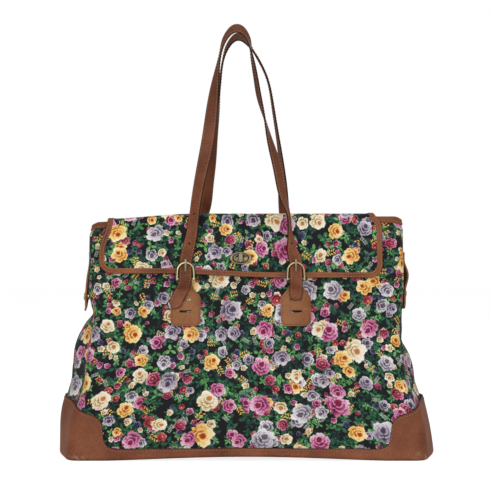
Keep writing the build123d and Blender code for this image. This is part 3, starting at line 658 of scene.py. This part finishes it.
def aged_brass(name, *tones):
    """Cast brass, darkened in blotches and rubbed on its rims, finely pitted."""
    finish = Finish(name)
    place = finish.place()
    dark, middle, light = shades(*tones)
    fine = finish.noise(place, 3.0, 3.0, 0.6)
    rubbed = finish.step(finish.node("NewGeometry", {}, "Pointiness"), 0.46, 0.56)
    colour = finish.mix(finish.step(finish.noise(place, 0.45, 4.0, 0.6), 0.35, 0.7), dark, middle)
    colour = finish.mix(rubbed * 0.8, colour, light)
    return finish.finish(colour, fine * 0.22 + 0.20, finish.bump(fine, 0.06, 0.4), Metallic=1.0)


def thread(name, *tones):
    """Waxed twisted thread, mottled along its length."""
    finish = Finish(name)
    twist = finish.noise(finish.place(), 1.6, 2.0)
    return finish.finish(finish.mix(twist, *shades(*tones)), 0.6, finish.bump(twist, 0.1, 0.5))


PRINT = printed_cloth()
LINING = lining_cloth()
BOOT_SKIN = leather(
    "boot_leather", ((86, 46, 30), (122, 70, 46), (146, 90, 62)), 0.9, 0.54,
    wear=(206, 178, 146), edge=(40, 24, 19),
)
CUT_EDGE = leather("cut_edge", ((34, 20, 16), (54, 34, 26), (74, 48, 36)), 1.4, 0.48)
TRIM_LEATHER = leather("trim_leather", ((84, 46, 30), (124, 72, 46), (148, 92, 60)), 1.1, 0.53)
TAN_LEATHER = leather("tan_leather", ((98, 56, 34), (136, 86, 54), (160, 108, 72)), 1.1, 0.52)
BRASS = aged_brass("aged_brass", (58, 48, 32), (122, 104, 68), (206, 190, 146))
DARK_BRASS = aged_brass("dark_brass", (40, 36, 28), (84, 76, 58), (158, 148, 120))
BROWN_THREAD = thread("brown_thread", (128, 84, 56), (178, 130, 92))
DARK_THREAD = thread("dark_thread", (62, 36, 24), (96, 60, 42))


# Body

FRONT_SHARE, SIDE_KNOT = 0.62, 0.32


def side_basis(part):
    """Weights of the gusset's five control points and two end slopes at shares of the way round it."""
    knots = np.array((0.0, 0.16, SIDE_KNOT, 0.64, 1.0))
    flat, start, end = np.zeros(5), (np.ones(1), np.zeros(1)), (np.zeros(1), np.ones(1))
    points = smooth_curve(knots, np.eye(5), part, ends=(flat, flat))
    slopes = [smooth_curve(knots, np.zeros((5, 1)), part, ends=ends) for ends in (start, end)]
    return np.hstack([points, *slopes])


def body_skin(column, height, grow=0.0):
    """Points of the front half of the body. column runs from -1, the middle of the left gusset, over the
    front to 1, the middle of the right one: a bellied line, a round corner and a gusset curve whose sizes are
    splines of the height."""
    column, height = np.broadcast_arrays(column, height)
    share = np.clip(height / BODY_HEIGHT, -0.02, 1.03)
    shape = share.shape
    flare, left, right, belly = smooth_curve(SECTIONS[:, 0], SECTIONS[:, 1:], share.ravel()).T.reshape(4, *shape)
    belly = np.maximum(belly, 0)
    corner = MOUTH_LENGTH / 2 + flare * (BASE_LENGTH / 2 - PUFF - MOUTH_LENGTH / 2) + grow
    depth = BASE_DEPTH / 2 - LEAN * height + grow
    radius = CORNER + grow
    flat = corner - radius
    reach = np.where(column > 0, right, left) * PUFF
    quarter = corner + np.where(reach > 0, 0.7, 0.3) * reach
    half = (depth - radius) / 2
    middle = radius * (1 - cos(pi / 4))
    weights = side_basis(np.clip((np.abs(column.ravel()) - FRONT_SHARE) / (1 - FRONT_SHARE), 0, 1))
    pace = radius * (pi / 2) / SIDE_KNOT
    nothing = np.zeros(shape)
    control_x = (flat, corner - middle, corner, quarter, corner + reach, nothing + pace, nothing)
    control_y = (-depth, middle - depth, radius - depth, -half, nothing, nothing, half / 0.36)
    side_x, side_y = [
        sum(weight.reshape(shape) * value for weight, value in zip(weights.T, control))
        for control in (control_x, control_y)
    ]
    on_front = np.abs(column) <= FRONT_SHARE
    across = np.clip(column / FRONT_SHARE, -1, 1)
    front_y = -depth - belly * np.cos(across * pi / 2) ** 2
    x = np.where(on_front, across * flat, np.sign(column) * side_x)
    y = np.where(on_front, front_y, side_y)
    return np.stack([x, y, height], axis=-1)


def slump(points):
    """Lower the left end of the mouth, as an empty bag's slack end sinks, and swell the corners below it."""
    x, z = points[..., 0], points[..., 2]
    points = points.copy()
    above = fade(200, 236, z) * fade(BODY_HEIGHT, BODY_HEIGHT - 18, z)
    points[..., 0] += above * (3.0 * fade(150, 214, x) - 4.6 * fade(150, 214, -x))
    points[..., 2] -= 8.0 * fade(110, 215, -x) * fade(225, BODY_HEIGHT, z)
    points[..., 2] -= 3.6 * fade(207, 220, np.abs(x)) * fade(300, BODY_HEIGHT, z)
    return points


def skin_normals(points):
    """Unit normals of a grid of points, from the cross product of its two directions."""
    return unit(np.cross(np.gradient(points, axis=1), np.gradient(points, axis=0)))


ROLL = waves(7, 9, 60, 190)
FINE_ROLL = waves(11, 12, 22, 60)


def cloth_relief(points):
    """Slack of the cloth in millimetres: a broad roll, finer ripples low down, and creases at the kinks."""
    x, z = points[..., 0], points[..., 2]
    calm = fade(60, 12, np.abs(np.abs(x - SHIFT) - BUCKLE_PITCH / 2)) * fade(170, 200, z)
    free = (1 - 0.9 * fade(175, 215, z)) * fade(15, 70, z)
    relief = 2.0 * ROLL(x, z) * free + 0.5 * FINE_ROLL(x, z) * free
    relief -= 2.6 * np.exp(-((z - 198 + 0.25 * (x + 218)) / 9) ** 2) * fade(150, 214, -x)
    relief -= 2.2 * np.exp(-((z - 164 - 0.3 * (x - 218)) / 9) ** 2) * fade(150, 214, x)
    relief -= 1.6 * np.exp(-((z - 96 - 0.35 * (np.abs(x) - 220)) / 11) ** 2) * fade(150, 225, np.abs(x))
    return relief * (1 - calm) - 0.6


BOOT_WAY = travelled(BOOT_EDGE)
BOOT_LINE = smooth_curve(BOOT_WAY, BOOT_EDGE, np.linspace(0, BOOT_WAY[-1], 900), ends=((1, 0), (1, 0)))


def base_arch(x):
    """Rise of the boot's lower edge: the arch's rise * cos(pi/2 * x / its half)^1.3, and 0 beyond its half."""
    return ARCH_RISE * np.clip(np.cos(np.clip(x / ARCH_HALF, -1, 1) * pi / 2), 0, 1) ** 1.3


def boot_slack(points):
    """Slight waviness of the boot's wall."""
    return 0.9 * ROLL(points[..., 0] * 1.3, points[..., 2] * 1.3) * fade(8, 40, points[..., 2])


def boot_height(x):
    """Height of the boot's upper edge at a distance from the middle."""
    order = np.maximum.accumulate(BOOT_LINE[:, 0])
    return np.interp(np.abs(x), order, BOOT_LINE[:, 1])


FRONT_COLUMNS = np.r_[
    np.linspace(0, 0.76, 56)[:-1], np.linspace(0.76, 0.97, 56)[:-1], np.linspace(0.97, 1, 6),
] * FRONT_SHARE
HALF_COLUMNS = np.r_[FRONT_COLUMNS[:-1], np.linspace(FRONT_SHARE, 1, 46)]
COLUMNS = np.r_[-HALF_COLUMNS[:0:-1], HALF_COLUMNS]


def ring(height, grow):
    """Closed plan of the body: the front half, then its mirror image round the back."""
    front = body_skin(COLUMNS, height, grow)
    back = front[:, -2:0:-1].copy()
    back[..., 1] *= -1
    return np.concatenate([front, back], axis=1)


def edge_heights(grow):
    """Height of the boot's upper edge at every column of the closed plan, read off the plan low on the wall."""
    return boot_height(ring(np.full((1, len(COLUMNS)), 60.0), grow)[0, :, 0])


def settle(points):
    """Lift wall points near the floor by the arch of the base, and let the wall wave."""
    points[..., 2] += base_arch(points[..., 0]) * fade(24, 0, points[..., 2])
    points[..., 1] += np.sign(points[..., 1]) * boot_slack(points)
    return points


def make_panel(name, node, rear):
    """Cloth panel from under the boot up to the mouth, round both corners to the middle of the gussets."""
    low = edge_heights(0.0)[:len(COLUMNS)] - BOOT_LAP
    rise = np.linspace(0, 1, 130)[:, None]
    height = low + rise * (BODY_HEIGHT - low)
    points = body_skin(COLUMNS[None, :], height)
    points = points + skin_normals(points) * cloth_relief(points)[..., None]
    points = slump(points)
    along = travelled(body_skin(COLUMNS, np.full(len(COLUMNS), 200.0)))
    cloth = np.stack(np.broadcast_arrays(along[None, :], height / cos(TILT)), axis=-1)
    faces = grid_faces(*points.shape[:2])
    if rear:
        points[..., 1] *= -1
        cloth[..., 0] += REAR_PRINT
        faces = faces[:, ::-1]
    piece = make_piece(name, points, faces, [PRINT, LINING], uv=cloth)
    thicken(piece, CANVAS, inside=1)
    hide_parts(node)
    return piece


def make_boot():
    """Leather boot: a wall from its upper edge down, a rolled lower edge, and a base that arches slightly."""
    edge = edge_heights(BOOT_LEATHER)
    wall = np.linspace(1, 0, 34)[:, None]
    rows = [ring(BOOT_TURN + wall * (edge[:len(COLUMNS)] - BOOT_TURN), BOOT_LEATHER)]
    foot = ring(np.full((1, len(COLUMNS)), BOOT_TURN), BOOT_LEATHER)[0]
    inwards = unit(np.cross(np.roll(foot, -1, axis=0) - np.roll(foot, 1, axis=0), (0, 0, -1.0)))
    for angle in np.radians((12, 24, 36, 48, 60, 75, 90)):
        row = foot + inwards * BOOT_TURN * (1 - cos(angle))
        row[:, 2] = BOOT_TURN * (1 - sin(angle))
        rows.append(row[None])
    for part in (0.93, 0.8, 0.6, 0.35, 0.12, 0.0):
        rows.append((row * (0.45 + 0.55 * part, part, 1.0))[None])
    points = np.concatenate(rows)
    level = np.zeros(points.shape[:2])
    level[:len(wall)] = points[:len(wall), :, 2]
    cloth = np.stack(np.broadcast_arrays(travelled(foot), edge - level), axis=-1)
    faces = grid_faces(*points.shape[:2], ring_columns=True)[:, ::-1]
    piece = make_piece("boot", settle(points), faces, [BOOT_SKIN, CUT_EDGE], uv=cloth)
    thicken(piece, BOOT_WALL, rim=1)
    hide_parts("leather_base")


def stitches(name, middle, along, out, sizes, material):
    """Many short threads as one piece: each is an ellipsoid ring template laid along its own direction."""
    steps, around = 7, 6
    length, width = sizes[1:]
    lap = np.linspace(-1, 1, steps)
    swell = np.sqrt(np.clip(1 - lap ** 4, 0, 1)) * 0.5
    swell[[0, -1]] = 0.12
    turn = np.arange(around) / around * 2 * pi
    lengthways = np.repeat(lap * length / 2, around)
    sideways = np.outer(swell, np.cos(turn)).ravel() * width
    upwards = np.outer(swell, np.sin(turn)).ravel() * width
    along, out = unit(along), unit(out)
    side = unit(np.cross(out, along))
    points = (
        middle[:, None] + along[:, None] * lengthways[None, :, None]
        + side[:, None] * sideways[None, :, None] + out[:, None] * upwards[None, :, None]
    )
    first = np.arange(around)
    caps = np.stack([first[::-1], first + (steps - 1) * around])
    start = (np.arange(len(middle)) * steps * around)[:, None, None]
    quads = (grid_faces(steps, around, ring_columns=True) + start).reshape(-1, 4).tolist()
    ends = (caps + start).reshape(-1, around).tolist()
    return outwards(make_piece(name, points, quads + ends, material))


def evenly(points, pitch):
    """Places along a row of points at an even pitch, with their directions."""
    way = travelled(points)
    count = max(2, int(way[-1] / pitch))
    wanted = (np.arange(count) + 0.5) * way[-1] / count
    ahead = np.stack([np.gradient(column, way) for column in points.T], axis=1)
    return read_along(way, points, wanted), unit(read_along(way, ahead, wanted))


def stitch_boot():
    """Row of stitches just below the boot's upper edge, all the way round."""
    height = edge_heights(BOOT_LEATHER)[:len(COLUMNS)] - 4.0
    line = settle(ring(height[None, :], BOOT_LEATHER + 0.25)[0])
    middle, ahead = evenly(np.vstack([line, line[:1]]), BOOT_STITCH[0])
    out = unit(np.cross(ahead, (0, 0, 1.0)))
    stitches("boot_stitches", middle, ahead, out, BOOT_STITCH, BROWN_THREAD)


def make_mouth_binding():
    """Leather folded over the edge of the mouth: an arch-shaped section carried round the plan."""
    angle = circle(18)
    out = -CANVAS / 2 + pressed(np.cos(angle), 0.55) * (CANVAS / 2 + 1.25)
    rise = -3.6 + pressed(np.sin(angle), 0.55) * 4.8
    base = ring(np.full((1, len(COLUMNS)), BODY_HEIGHT - 3.0), 0.0)[0]
    normal = unit(np.cross(np.roll(base, -1, axis=0) - np.roll(base, 1, axis=0), (0, 0, 1.0)))
    points = base[:, None] + normal[:, None] * out[None, :, None]
    points[..., 2] = BODY_HEIGHT + rise[None, :]
    faces = grid_faces(*points.shape[:2], True, True)
    piece = outwards(make_piece("mouth_edge", slump(points), faces, TRIM_LEATHER))
    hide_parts("mouth_binding")
    middle, ahead = evenly(np.vstack([base, base[:1]]), MOUTH_STITCH[0])
    away = unit(np.cross(ahead, (0, 0, 1.0)))
    middle = middle + away * 1.35
    middle[:, 2] = BODY_HEIGHT - 5.2
    stitches("mouth_stitches", slump(middle), ahead, away, MOUTH_STITCH, BROWN_THREAD)


# Flap

def flap_profile():
    """Side view of the flap's inner face, from its rear edge over the mouth to its front edge."""
    gap = FLAP_GAP / cos(TILT)
    top = BODY_HEIGHT + 3.2
    reach = BASE_DEPTH / 2 - LEAN * top + gap
    radius = 6.0
    low_y, low_z = [], []
    for drop in (FLAP_REAR_DROP, FLAP_DROP):
        low_z.append(BODY_HEIGHT - drop * cos(TILT))
        low_y.append(BASE_DEPTH / 2 - LEAN * low_z[-1] + gap)
    angle = TILT + np.linspace(0, pi / 2 - TILT, 12)
    arc_y, arc_z = reach - radius * (1 - 0.12) + radius * np.cos(angle), top - radius + radius * np.sin(angle)
    arc = np.stack([arc_y, arc_z], axis=1)
    return np.vstack([(low_y[0], low_z[0]), arc, arc[::-1] * (-1, 1), (-low_y[1], low_z[1])])


FLAP_LINE = flap_profile()
FLAP_WAY = travelled(FLAP_LINE)
FLAP_FINE = np.linspace(0, FLAP_WAY[-1], 500)
FLAP_PATH = read_along(FLAP_WAY, FLAP_LINE, FLAP_FINE)
FLAP_AHEAD = unit(np.gradient(FLAP_PATH, axis=0))
FLAP_TOTAL = FLAP_WAY[-1]


def flap_sheet(x, way, off):
    """Point of the flap at x, at a way along its side view, and off its inner face."""
    y, z = np.moveaxis(read_along(FLAP_FINE, FLAP_PATH, way), -1, 0)
    ahead_y, ahead_z = np.moveaxis(read_along(FLAP_FINE, FLAP_AHEAD, way), -1, 0)
    y, z = y + ahead_z * off, z - ahead_y * off
    hang = fade(0, 70, way - (FLAP_TOTAL - 76))
    z = z - 7.5 * fade(60, 195, -(x - SHIFT)) * fade(280, 335, z)
    z = z + hang * (1.2 - 5.8 * fade(-110, 60, x - SHIFT))
    ripple = 0.8 * ROLL(x * 1.4, z * 1.2) * fade(-0.2, 1, hang)
    y = y - np.maximum(ripple, -0.4) * (y < 0)
    return np.stack(np.broadcast_arrays(x, y, z), axis=-1)


def flap_half_width(way, hand):
    """Half the flap's width at a way along it, on its left (-1) or right (1): narrow over the mouth, with
    rounded corners at both ends."""
    full, neck = FLAP_LENGTH / 2, FLAP_NECK / 2
    from_front = FLAP_TOTAL - way
    wider = np.where(hand < 0, fade(86, 30, from_front), fade(88, 66, from_front))
    half = neck + (full - neck) * wider
    for left, radius in ((from_front, FLAP_CORNER), (way, 10.0)):
        inside = np.clip(radius - left, 0, radius)
        half = half - (radius - np.sqrt(np.maximum(radius ** 2 - inside ** 2, 0)))
    return half


def make_flap():
    """Printed flap over the mouth, open where the lock's plate lies over it."""
    ease = (1 - np.cos(np.linspace(0, pi, 150))) / 2
    way = (FLAP_MARGIN + ease * (FLAP_TOTAL - 2 * FLAP_MARGIN))[:, None]
    across = np.linspace(-1, 1, 170)[None, :]
    x = SHIFT + across * (flap_half_width(way, across) - FLAP_MARGIN)
    points = flap_sheet(x, way, FLAP_FABRIC)
    cloth = np.stack(np.broadcast_arrays(x + FLAP_PRINT, -way), axis=-1)
    faces = grid_faces(*points.shape[:2])[:, ::-1]
    out, up = face_frame(-1)[1:]
    away = points.reshape(-1, 3)[faces].mean(axis=1) - on_face(-1, 0, LOCK_DROP, FLAP_GAP + FLAP_FABRIC)
    over_lock = (away[:, 0] / 10.5) ** 2 + (away @ up / 6.4) ** 2 + (away @ out / 12) ** 2 < 1
    flap = make_piece("flap_cloth", points, faces[~over_lock], [PRINT, LINING], uv=cloth)
    thicken(flap, FLAP_FABRIC, inside=1)
    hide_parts("flap")


def flap_outline():
    """Closed outline of the flap, as x and way along its side view: right edge, front, left edge, rear."""
    span = np.linspace(0.0, FLAP_TOTAL, 700)
    right_half, left_half = flap_half_width(span, 1), flap_half_width(span, -1)
    right = np.stack([SHIFT + right_half, span], axis=1)
    left = np.stack([SHIFT - left_half, span], axis=1)[::-1]
    inner = np.linspace(-1, 1, 160)[1:-1, None]
    front_end = np.hstack([SHIFT - inner * right_half[-1], np.full_like(inner, FLAP_TOTAL)])
    rear_end = np.hstack([SHIFT + inner * right_half[0], np.zeros_like(inner)])
    return np.vstack([right, front_end, left, rear_end])


def outline_frame(outline, wanted, reach):
    """Places on the outline with the ways ahead and inwards, the way ahead taken over a reach of places."""
    edge = read_along(travelled(outline), outline, wanted)
    ahead = unit(np.roll(edge, -reach, axis=0) - np.roll(edge, reach, axis=0))
    return edge, ahead, np.stack([-ahead[:, 1], ahead[:, 0]], axis=1)


def bind_flap():
    """Leather folded round the flap's edge, and its two rows of stitches."""
    outline = flap_outline()
    total = travelled(outline)[-1]
    edge, ahead, inwards = outline_frame(outline, np.linspace(0, total, 620, endpoint=False), 3)
    angle = circle(20)
    depth = 3.5 - pressed(np.cos(angle), 0.6) * 4.0
    off = FLAP_FABRIC / 2 + pressed(np.sin(angle), 0.6) * 2.1
    spot = edge[:, None] + inwards[:, None] * depth[None, :, None]
    points = flap_sheet(spot[..., 0], spot[..., 1], np.broadcast_to(off, spot.shape[:2]))
    faces = grid_faces(*points.shape[:2], True, True)
    binding = outwards(make_piece("flap_edge", points, faces, TRIM_LEATHER))
    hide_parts("flap_binding")

    rows = []
    count = int(total / FLAP_STITCH[0])
    for depth in (1.5, 5.9):
        edge, ahead, inwards = outline_frame(outline, np.arange(count) * total / count, 1)
        spot = edge + inwards * depth
        start, end = (flap_sheet(*place.T, np.full(count, FLAP_FABRIC + 1.0)) for place in (spot, spot + ahead))
        above = flap_sheet(*spot.T, np.full(count, FLAP_FABRIC + 4.0))
        rows.append((start, end - start, above - start))
    middle, along, up = (np.vstack(part) for part in zip(*rows))
    stitches("flap_stitches", middle, along, up, FLAP_STITCH, BROWN_THREAD)


# Straps

def face_frame(side):
    """Origin on the mouth line, outward normal and upward way of the front face (-1) or the rear one (1)."""
    origin = np.array((SHIFT, side * MOUTH_DEPTH / 2, BODY_HEIGHT))
    out = np.array((0, side * cos(TILT), sin(TILT)))
    up = np.array((0, -side * sin(TILT), cos(TILT)))
    return origin, out, up


def on_face(side, right, drop, stand):
    """Point so far to the front view's right, below the mouth along a face, and off it."""
    origin, out, up = face_frame(side)
    return origin + np.array((right, 0, 0)) - up * drop + out * stand


def end_stations(side, right, hand, rows):
    """Stations of a handle's end: point, width direction, share of width."""
    out = face_frame(side)[1]
    made = []
    for height, outwards_by, stand, turn, share in rows:
        point = on_face(side, right + hand * outwards_by, BUCKLE_DROP - height, stand)
        made.append((point, out * cos(radians(turn)) - np.array((hand, 0, 0)) * sin(radians(turn)), share))
    return made


def loop_stations(side, rows, route_ahead):
    """Stations of a handle above the mouth, turned from its own side towards the inside of the loop."""
    made = []
    for row, ahead in zip(rows, route_ahead):
        turn = radians(row[3])
        inwards = np.cross(ahead, (0, -1.0, 0))
        made.append((loop_point(side, *row[:3]), np.array((0, side, 0)) * cos(turn) + inwards * sin(turn), 1.0))
    return made


def loop_point(side, level, across, towards):
    """Point of a handle above the mouth, from shares of the rise, the half pitch and the mouth's half depth."""
    return np.array((
        SHIFT + across * BUCKLE_PITCH / 2, side * towards * MOUTH_DEPTH / 2, BODY_HEIGHT + level * HANDLE_RISE,
    ))


def strap_section():
    """Rounded section of a strap: cosine and sine pressed to powers 0.35 across it and 0.55 through it."""
    angle = circle(28)
    return pressed(np.cos(angle), 0.35) * STRAP_WIDTH / 2, pressed(np.sin(angle), 0.55) * STRAP_THICK / 2


def strap_leather(name, holes):
    """Leather of a handle, redder and darker than the tabs, with its punched holes."""
    tones = ((64, 32, 20), (114, 65, 42), (144, 88, 60))
    return leather(name, tones, 1.2, 0.48, strap=STRAP_WIDTH / 2, holes=holes)


def carry_strap(name, node, stations, material):
    """Strap along a spline through its stations, with pointed ends where its first share is under a half:
    returns its centre line, width and outward directions, and share of width."""
    points, ways, shares = (np.array(part) for part in zip(*stations))
    place = travelled(points)
    wanted = np.linspace(0, place[-1], max(60, int(place[-1] / 2.6)))
    line = smooth_curve(place, points, wanted)
    ahead = unit(np.gradient(line, axis=0))
    across = smooth_curve(place, unit(ways), wanted)
    across = unit(across - ahead * np.sum(across * ahead, axis=1, keepdims=True))
    out = np.cross(ahead, across)
    share = np.interp(wanted, place, shares)
    if shares[0] < 0.5:
        tip = np.minimum(wanted, wanted[-1] - wanted)
        share = share * np.sqrt(np.clip((tip + 0.6) / 6.0, 0, 1))
    side, lift = strap_section()
    rings = (
        line[:, None] + across[:, None] * (side[None, :] * share[:, None])[..., None]
        + out[:, None] * lift[None, :, None]
    )
    uv = np.stack(np.broadcast_arrays(side[None, :], wanted[:, None]), axis=-1)
    points, faces = capped_tube(rings)
    piece = outwards(make_piece(name, points, faces, material, uv=uv))
    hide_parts(node)
    return line, across, out, share


def make_handle(name, node, side, left_rows, loop, right_rows):
    """Handle from tail to tail over the top, with a row of stitches along each edge of both faces."""
    half = BUCKLE_PITCH / 2
    left = end_stations(side, -half, -1, left_rows)
    right = end_stations(side, half, 1, right_rows)[::-1]
    middle = [loop_point(side, *row[:3]) for row in loop]
    route = np.array([station[0] for station in left] + middle + [station[0] for station in right])
    place = travelled(route)
    line = smooth_curve(place, route, np.r_[place, place + 0.5])
    ahead = unit(line[len(place):] - line[:len(place)])[len(left):len(left) + len(loop)]
    stations = left + loop_stations(side, loop, ahead) + right
    punched = (len(left) - 2, len(left), len(left) + len(loop) - 1, len(left) + len(loop) + 1)
    finish = strap_leather(name + "_leather", [float(place[one]) for one in punched])
    line, across, out, share = carry_strap(name, node, stations, finish)
    rows = []
    for edge in (-1, 1):
        inset = across * (edge * share * (STRAP_WIDTH / 2 - STITCH_INSET))[:, None]
        for face in (-1, 1):
            row = line + inset + out * face * (STRAP_THICK / 2)
            spots, ways = evenly(row[4:-4], STRAP_STITCH[0])
            nearest = np.argmin(np.linalg.norm(spots[:, None] - row[None], axis=2), axis=1)
            rows.append((spots, ways, out[nearest] * face))
    spots, ways, outs = (np.vstack(part) for part in zip(*rows))
    stitches(name + "_stitches", spots, ways, outs, STRAP_STITCH, BROWN_THREAD)


def stitch_tab(name, side, right):
    """Slanted stitches round a tab, set in from its outline."""
    half, corner = TAB_WIDTH / 2 - STITCH_INSET, TAB_CORNER - STITCH_INSET
    turn = np.radians(np.arange(0, 91, 15))
    low = STITCH_INSET - TAB_DROP + corner * (1 - np.sin(turn))
    rounded = np.stack([half - corner + corner * np.cos(turn), low], axis=1)
    one = np.vstack([(TAB_NECK / 2 - 2.0, -TAB_SHOULDER - 3.0), (half, -TAB_SHOULDER_END - 1.4), rounded])
    line = np.vstack([one, one[::-1] * (-1, 1)])
    flat = np.array([on_face(side, right + x, BUCKLE_DROP - y, ON_TAB - STRAP_THICK / 2) for x, y in line])
    middle, ahead = evenly(flat, TAB_STITCH[0])
    up = np.broadcast_to(face_frame(side)[1], middle.shape)
    slanted = ahead + 0.85 * np.cross(up, ahead)
    stitches(name, middle, slanted, up, TAB_STITCH, DARK_THREAD)


# Metalwork

def make_eyelet_plate():
    """Oval plate of the turn lock: rings of an ellipse raised by a profile of rim, hollow and lip."""
    out, up = face_frame(-1)[1:]
    centre = on_face(-1, 0, LOCK_DROP, FLAP_GAP + FLAP_FABRIC)
    turn = circle(72)
    length, height, lift = (column[:, None, None] for column in LOCK_PLATE.T)
    points = (
        centre + np.array((1.0, 0, 0)) * (length * np.cos(turn)[None, :, None])
        + up * (height * np.sin(turn)[None, :, None]) + out * lift
    )
    faces = grid_faces(*points.shape[:2], True, True)
    piece = outwards(make_piece("lock_plate", points, faces, DARK_BRASS))
    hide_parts("lock_eyelet_plate")


# Stage, light and camera

def make_stage():
    """Pale floor: it takes the shadow, and glows white to the camera by a share."""
    finish = Finish("studio_paper")
    seen = finish.node("LightPath", {}, "Is Camera Ray")
    glow = finish.node("Emission", {"Color": WHITE, "Strength": FLOOR_GLOW})
    finish.finish(PAPER, 0.9, None)
    paper = Value(finish, finish.shader.outputs[0])
    blended = finish.node("MixShader", {0: seen * GLOW_SHARE, 1: paper, 2: glow})
    finish.feed(finish.tree.nodes["Material Output"].inputs["Surface"], blended)
    reach = np.linspace(-FLOOR_HALF, FLOOR_HALF, 13)
    points = np.stack(np.broadcast_arrays(reach[None, :], reach[:, None], 0.0), axis=-1)
    mesh = bpy.data.meshes.new("floor")
    mesh.from_pydata((points.reshape(-1, 3) * MM).tolist(), [], grid_faces(*points.shape[:2]).tolist())
    mesh.materials.append(finish.material)
    floor = bpy.data.objects.new("floor", mesh)
    bpy.context.scene.collection.objects.link(floor)


def soft_light(name, place, aim, size, power):
    """Rectangular softbox at a place in metres, aimed at a point."""
    lamp = bpy.data.lights.new(name, "AREA")
    lamp.shape = "RECTANGLE"
    lamp.size, lamp.size_y = size
    lamp.energy = power
    box = bpy.data.objects.new(name, lamp)
    box.location = place
    box.rotation_euler = (Vector(aim) - Vector(place)).to_track_quat("-Z", "Y").to_euler()
    bpy.context.scene.collection.objects.link(box)


def light_and_camera():
    """Soft light from both sides and above, a white world for the camera, and the photograph's level view."""
    scene = bpy.context.scene
    scene.view_settings.view_transform = "Standard"
    world = bpy.data.worlds.new("studio")
    scene.world = world
    world.use_nodes = True
    tree = world.node_tree
    path = tree.nodes.new("ShaderNodeLightPath")
    level = tree.nodes.new("ShaderNodeMapRange")
    level.inputs["To Min"].default_value = WORLD_LIGHT
    level.inputs["To Max"].default_value = WORLD_SEEN
    tree.links.new(path.outputs["Is Camera Ray"], level.inputs["Value"])
    ground = tree.nodes["Background"]
    ground.inputs["Color"].default_value = WHITE
    tree.links.new(level.outputs[0], ground.inputs["Strength"])
    for light in LIGHTS:
        soft_light(*light)
    lens = bpy.data.cameras.new("camera")
    lens.sensor_width = SENSOR_WIDTH
    lens.lens = FOCAL_LENGTH
    camera = bpy.data.objects.new("camera", lens)
    camera.location = CAMERA_PLACE
    camera.rotation_euler = (pi / 2, 0, 0)
    scene.collection.objects.link(camera)
    scene.camera = camera


def dress(node, material):
    """Give a node that keeps its shape its finish."""
    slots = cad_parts[node].data.materials
    slots.clear()
    slots.append(material)


make_stage()
light_and_camera()
make_panel("front_cloth", "front_panel", False)
make_panel("rear_cloth", "back_panel", True)
make_boot()
stitch_boot()
make_mouth_binding()
make_flap()
bind_flap()
make_handle(
    "front_strap", "front_handle", -1, LOOSE_TAIL + THROUGH_BUCKLE + FLAT_RISE, FRONT_LOOP,
    TUCKED_TAIL + THROUGH_BUCKLE + TURNED_RISE,
)
make_handle(
    "rear_strap", "rear_handle", 1, TUCKED_TAIL + THROUGH_BUCKLE + FLAT_RISE, REAR_LOOP,
    TUCKED_TAIL + THROUGH_BUCKLE + FLAT_RISE,
)
make_eyelet_plate()
for corner in ("front_left", "front_right", "rear_left", "rear_right"):
    side, hand = corner.split("_")
    softened("tab_" + corner, TAN_LEATHER, 0.5)
    softened("buckle_" + corner, BRASS, 0.6)
    softened("buckle_tongue_" + corner, DARK_BRASS, 0.3)
    stitch_tab("tab_stitches_" + corner, SIDES[side], HANDS[hand])
for hand in ("left", "right"):
    softened("side_strap_" + hand, TAN_LEATHER, 0.4)
    softened("snap_cap_" + hand, BRASS, 0.35)
    dress("snap_socket_" + hand, BRASS)
    dress("snap_stud_" + hand, BRASS)
softened("lock_knob", DARK_BRASS, 0.5, body="knob")
softened("lock_base_plate", BRASS, 0.2)
dress("lock_backing_plate", BRASS)
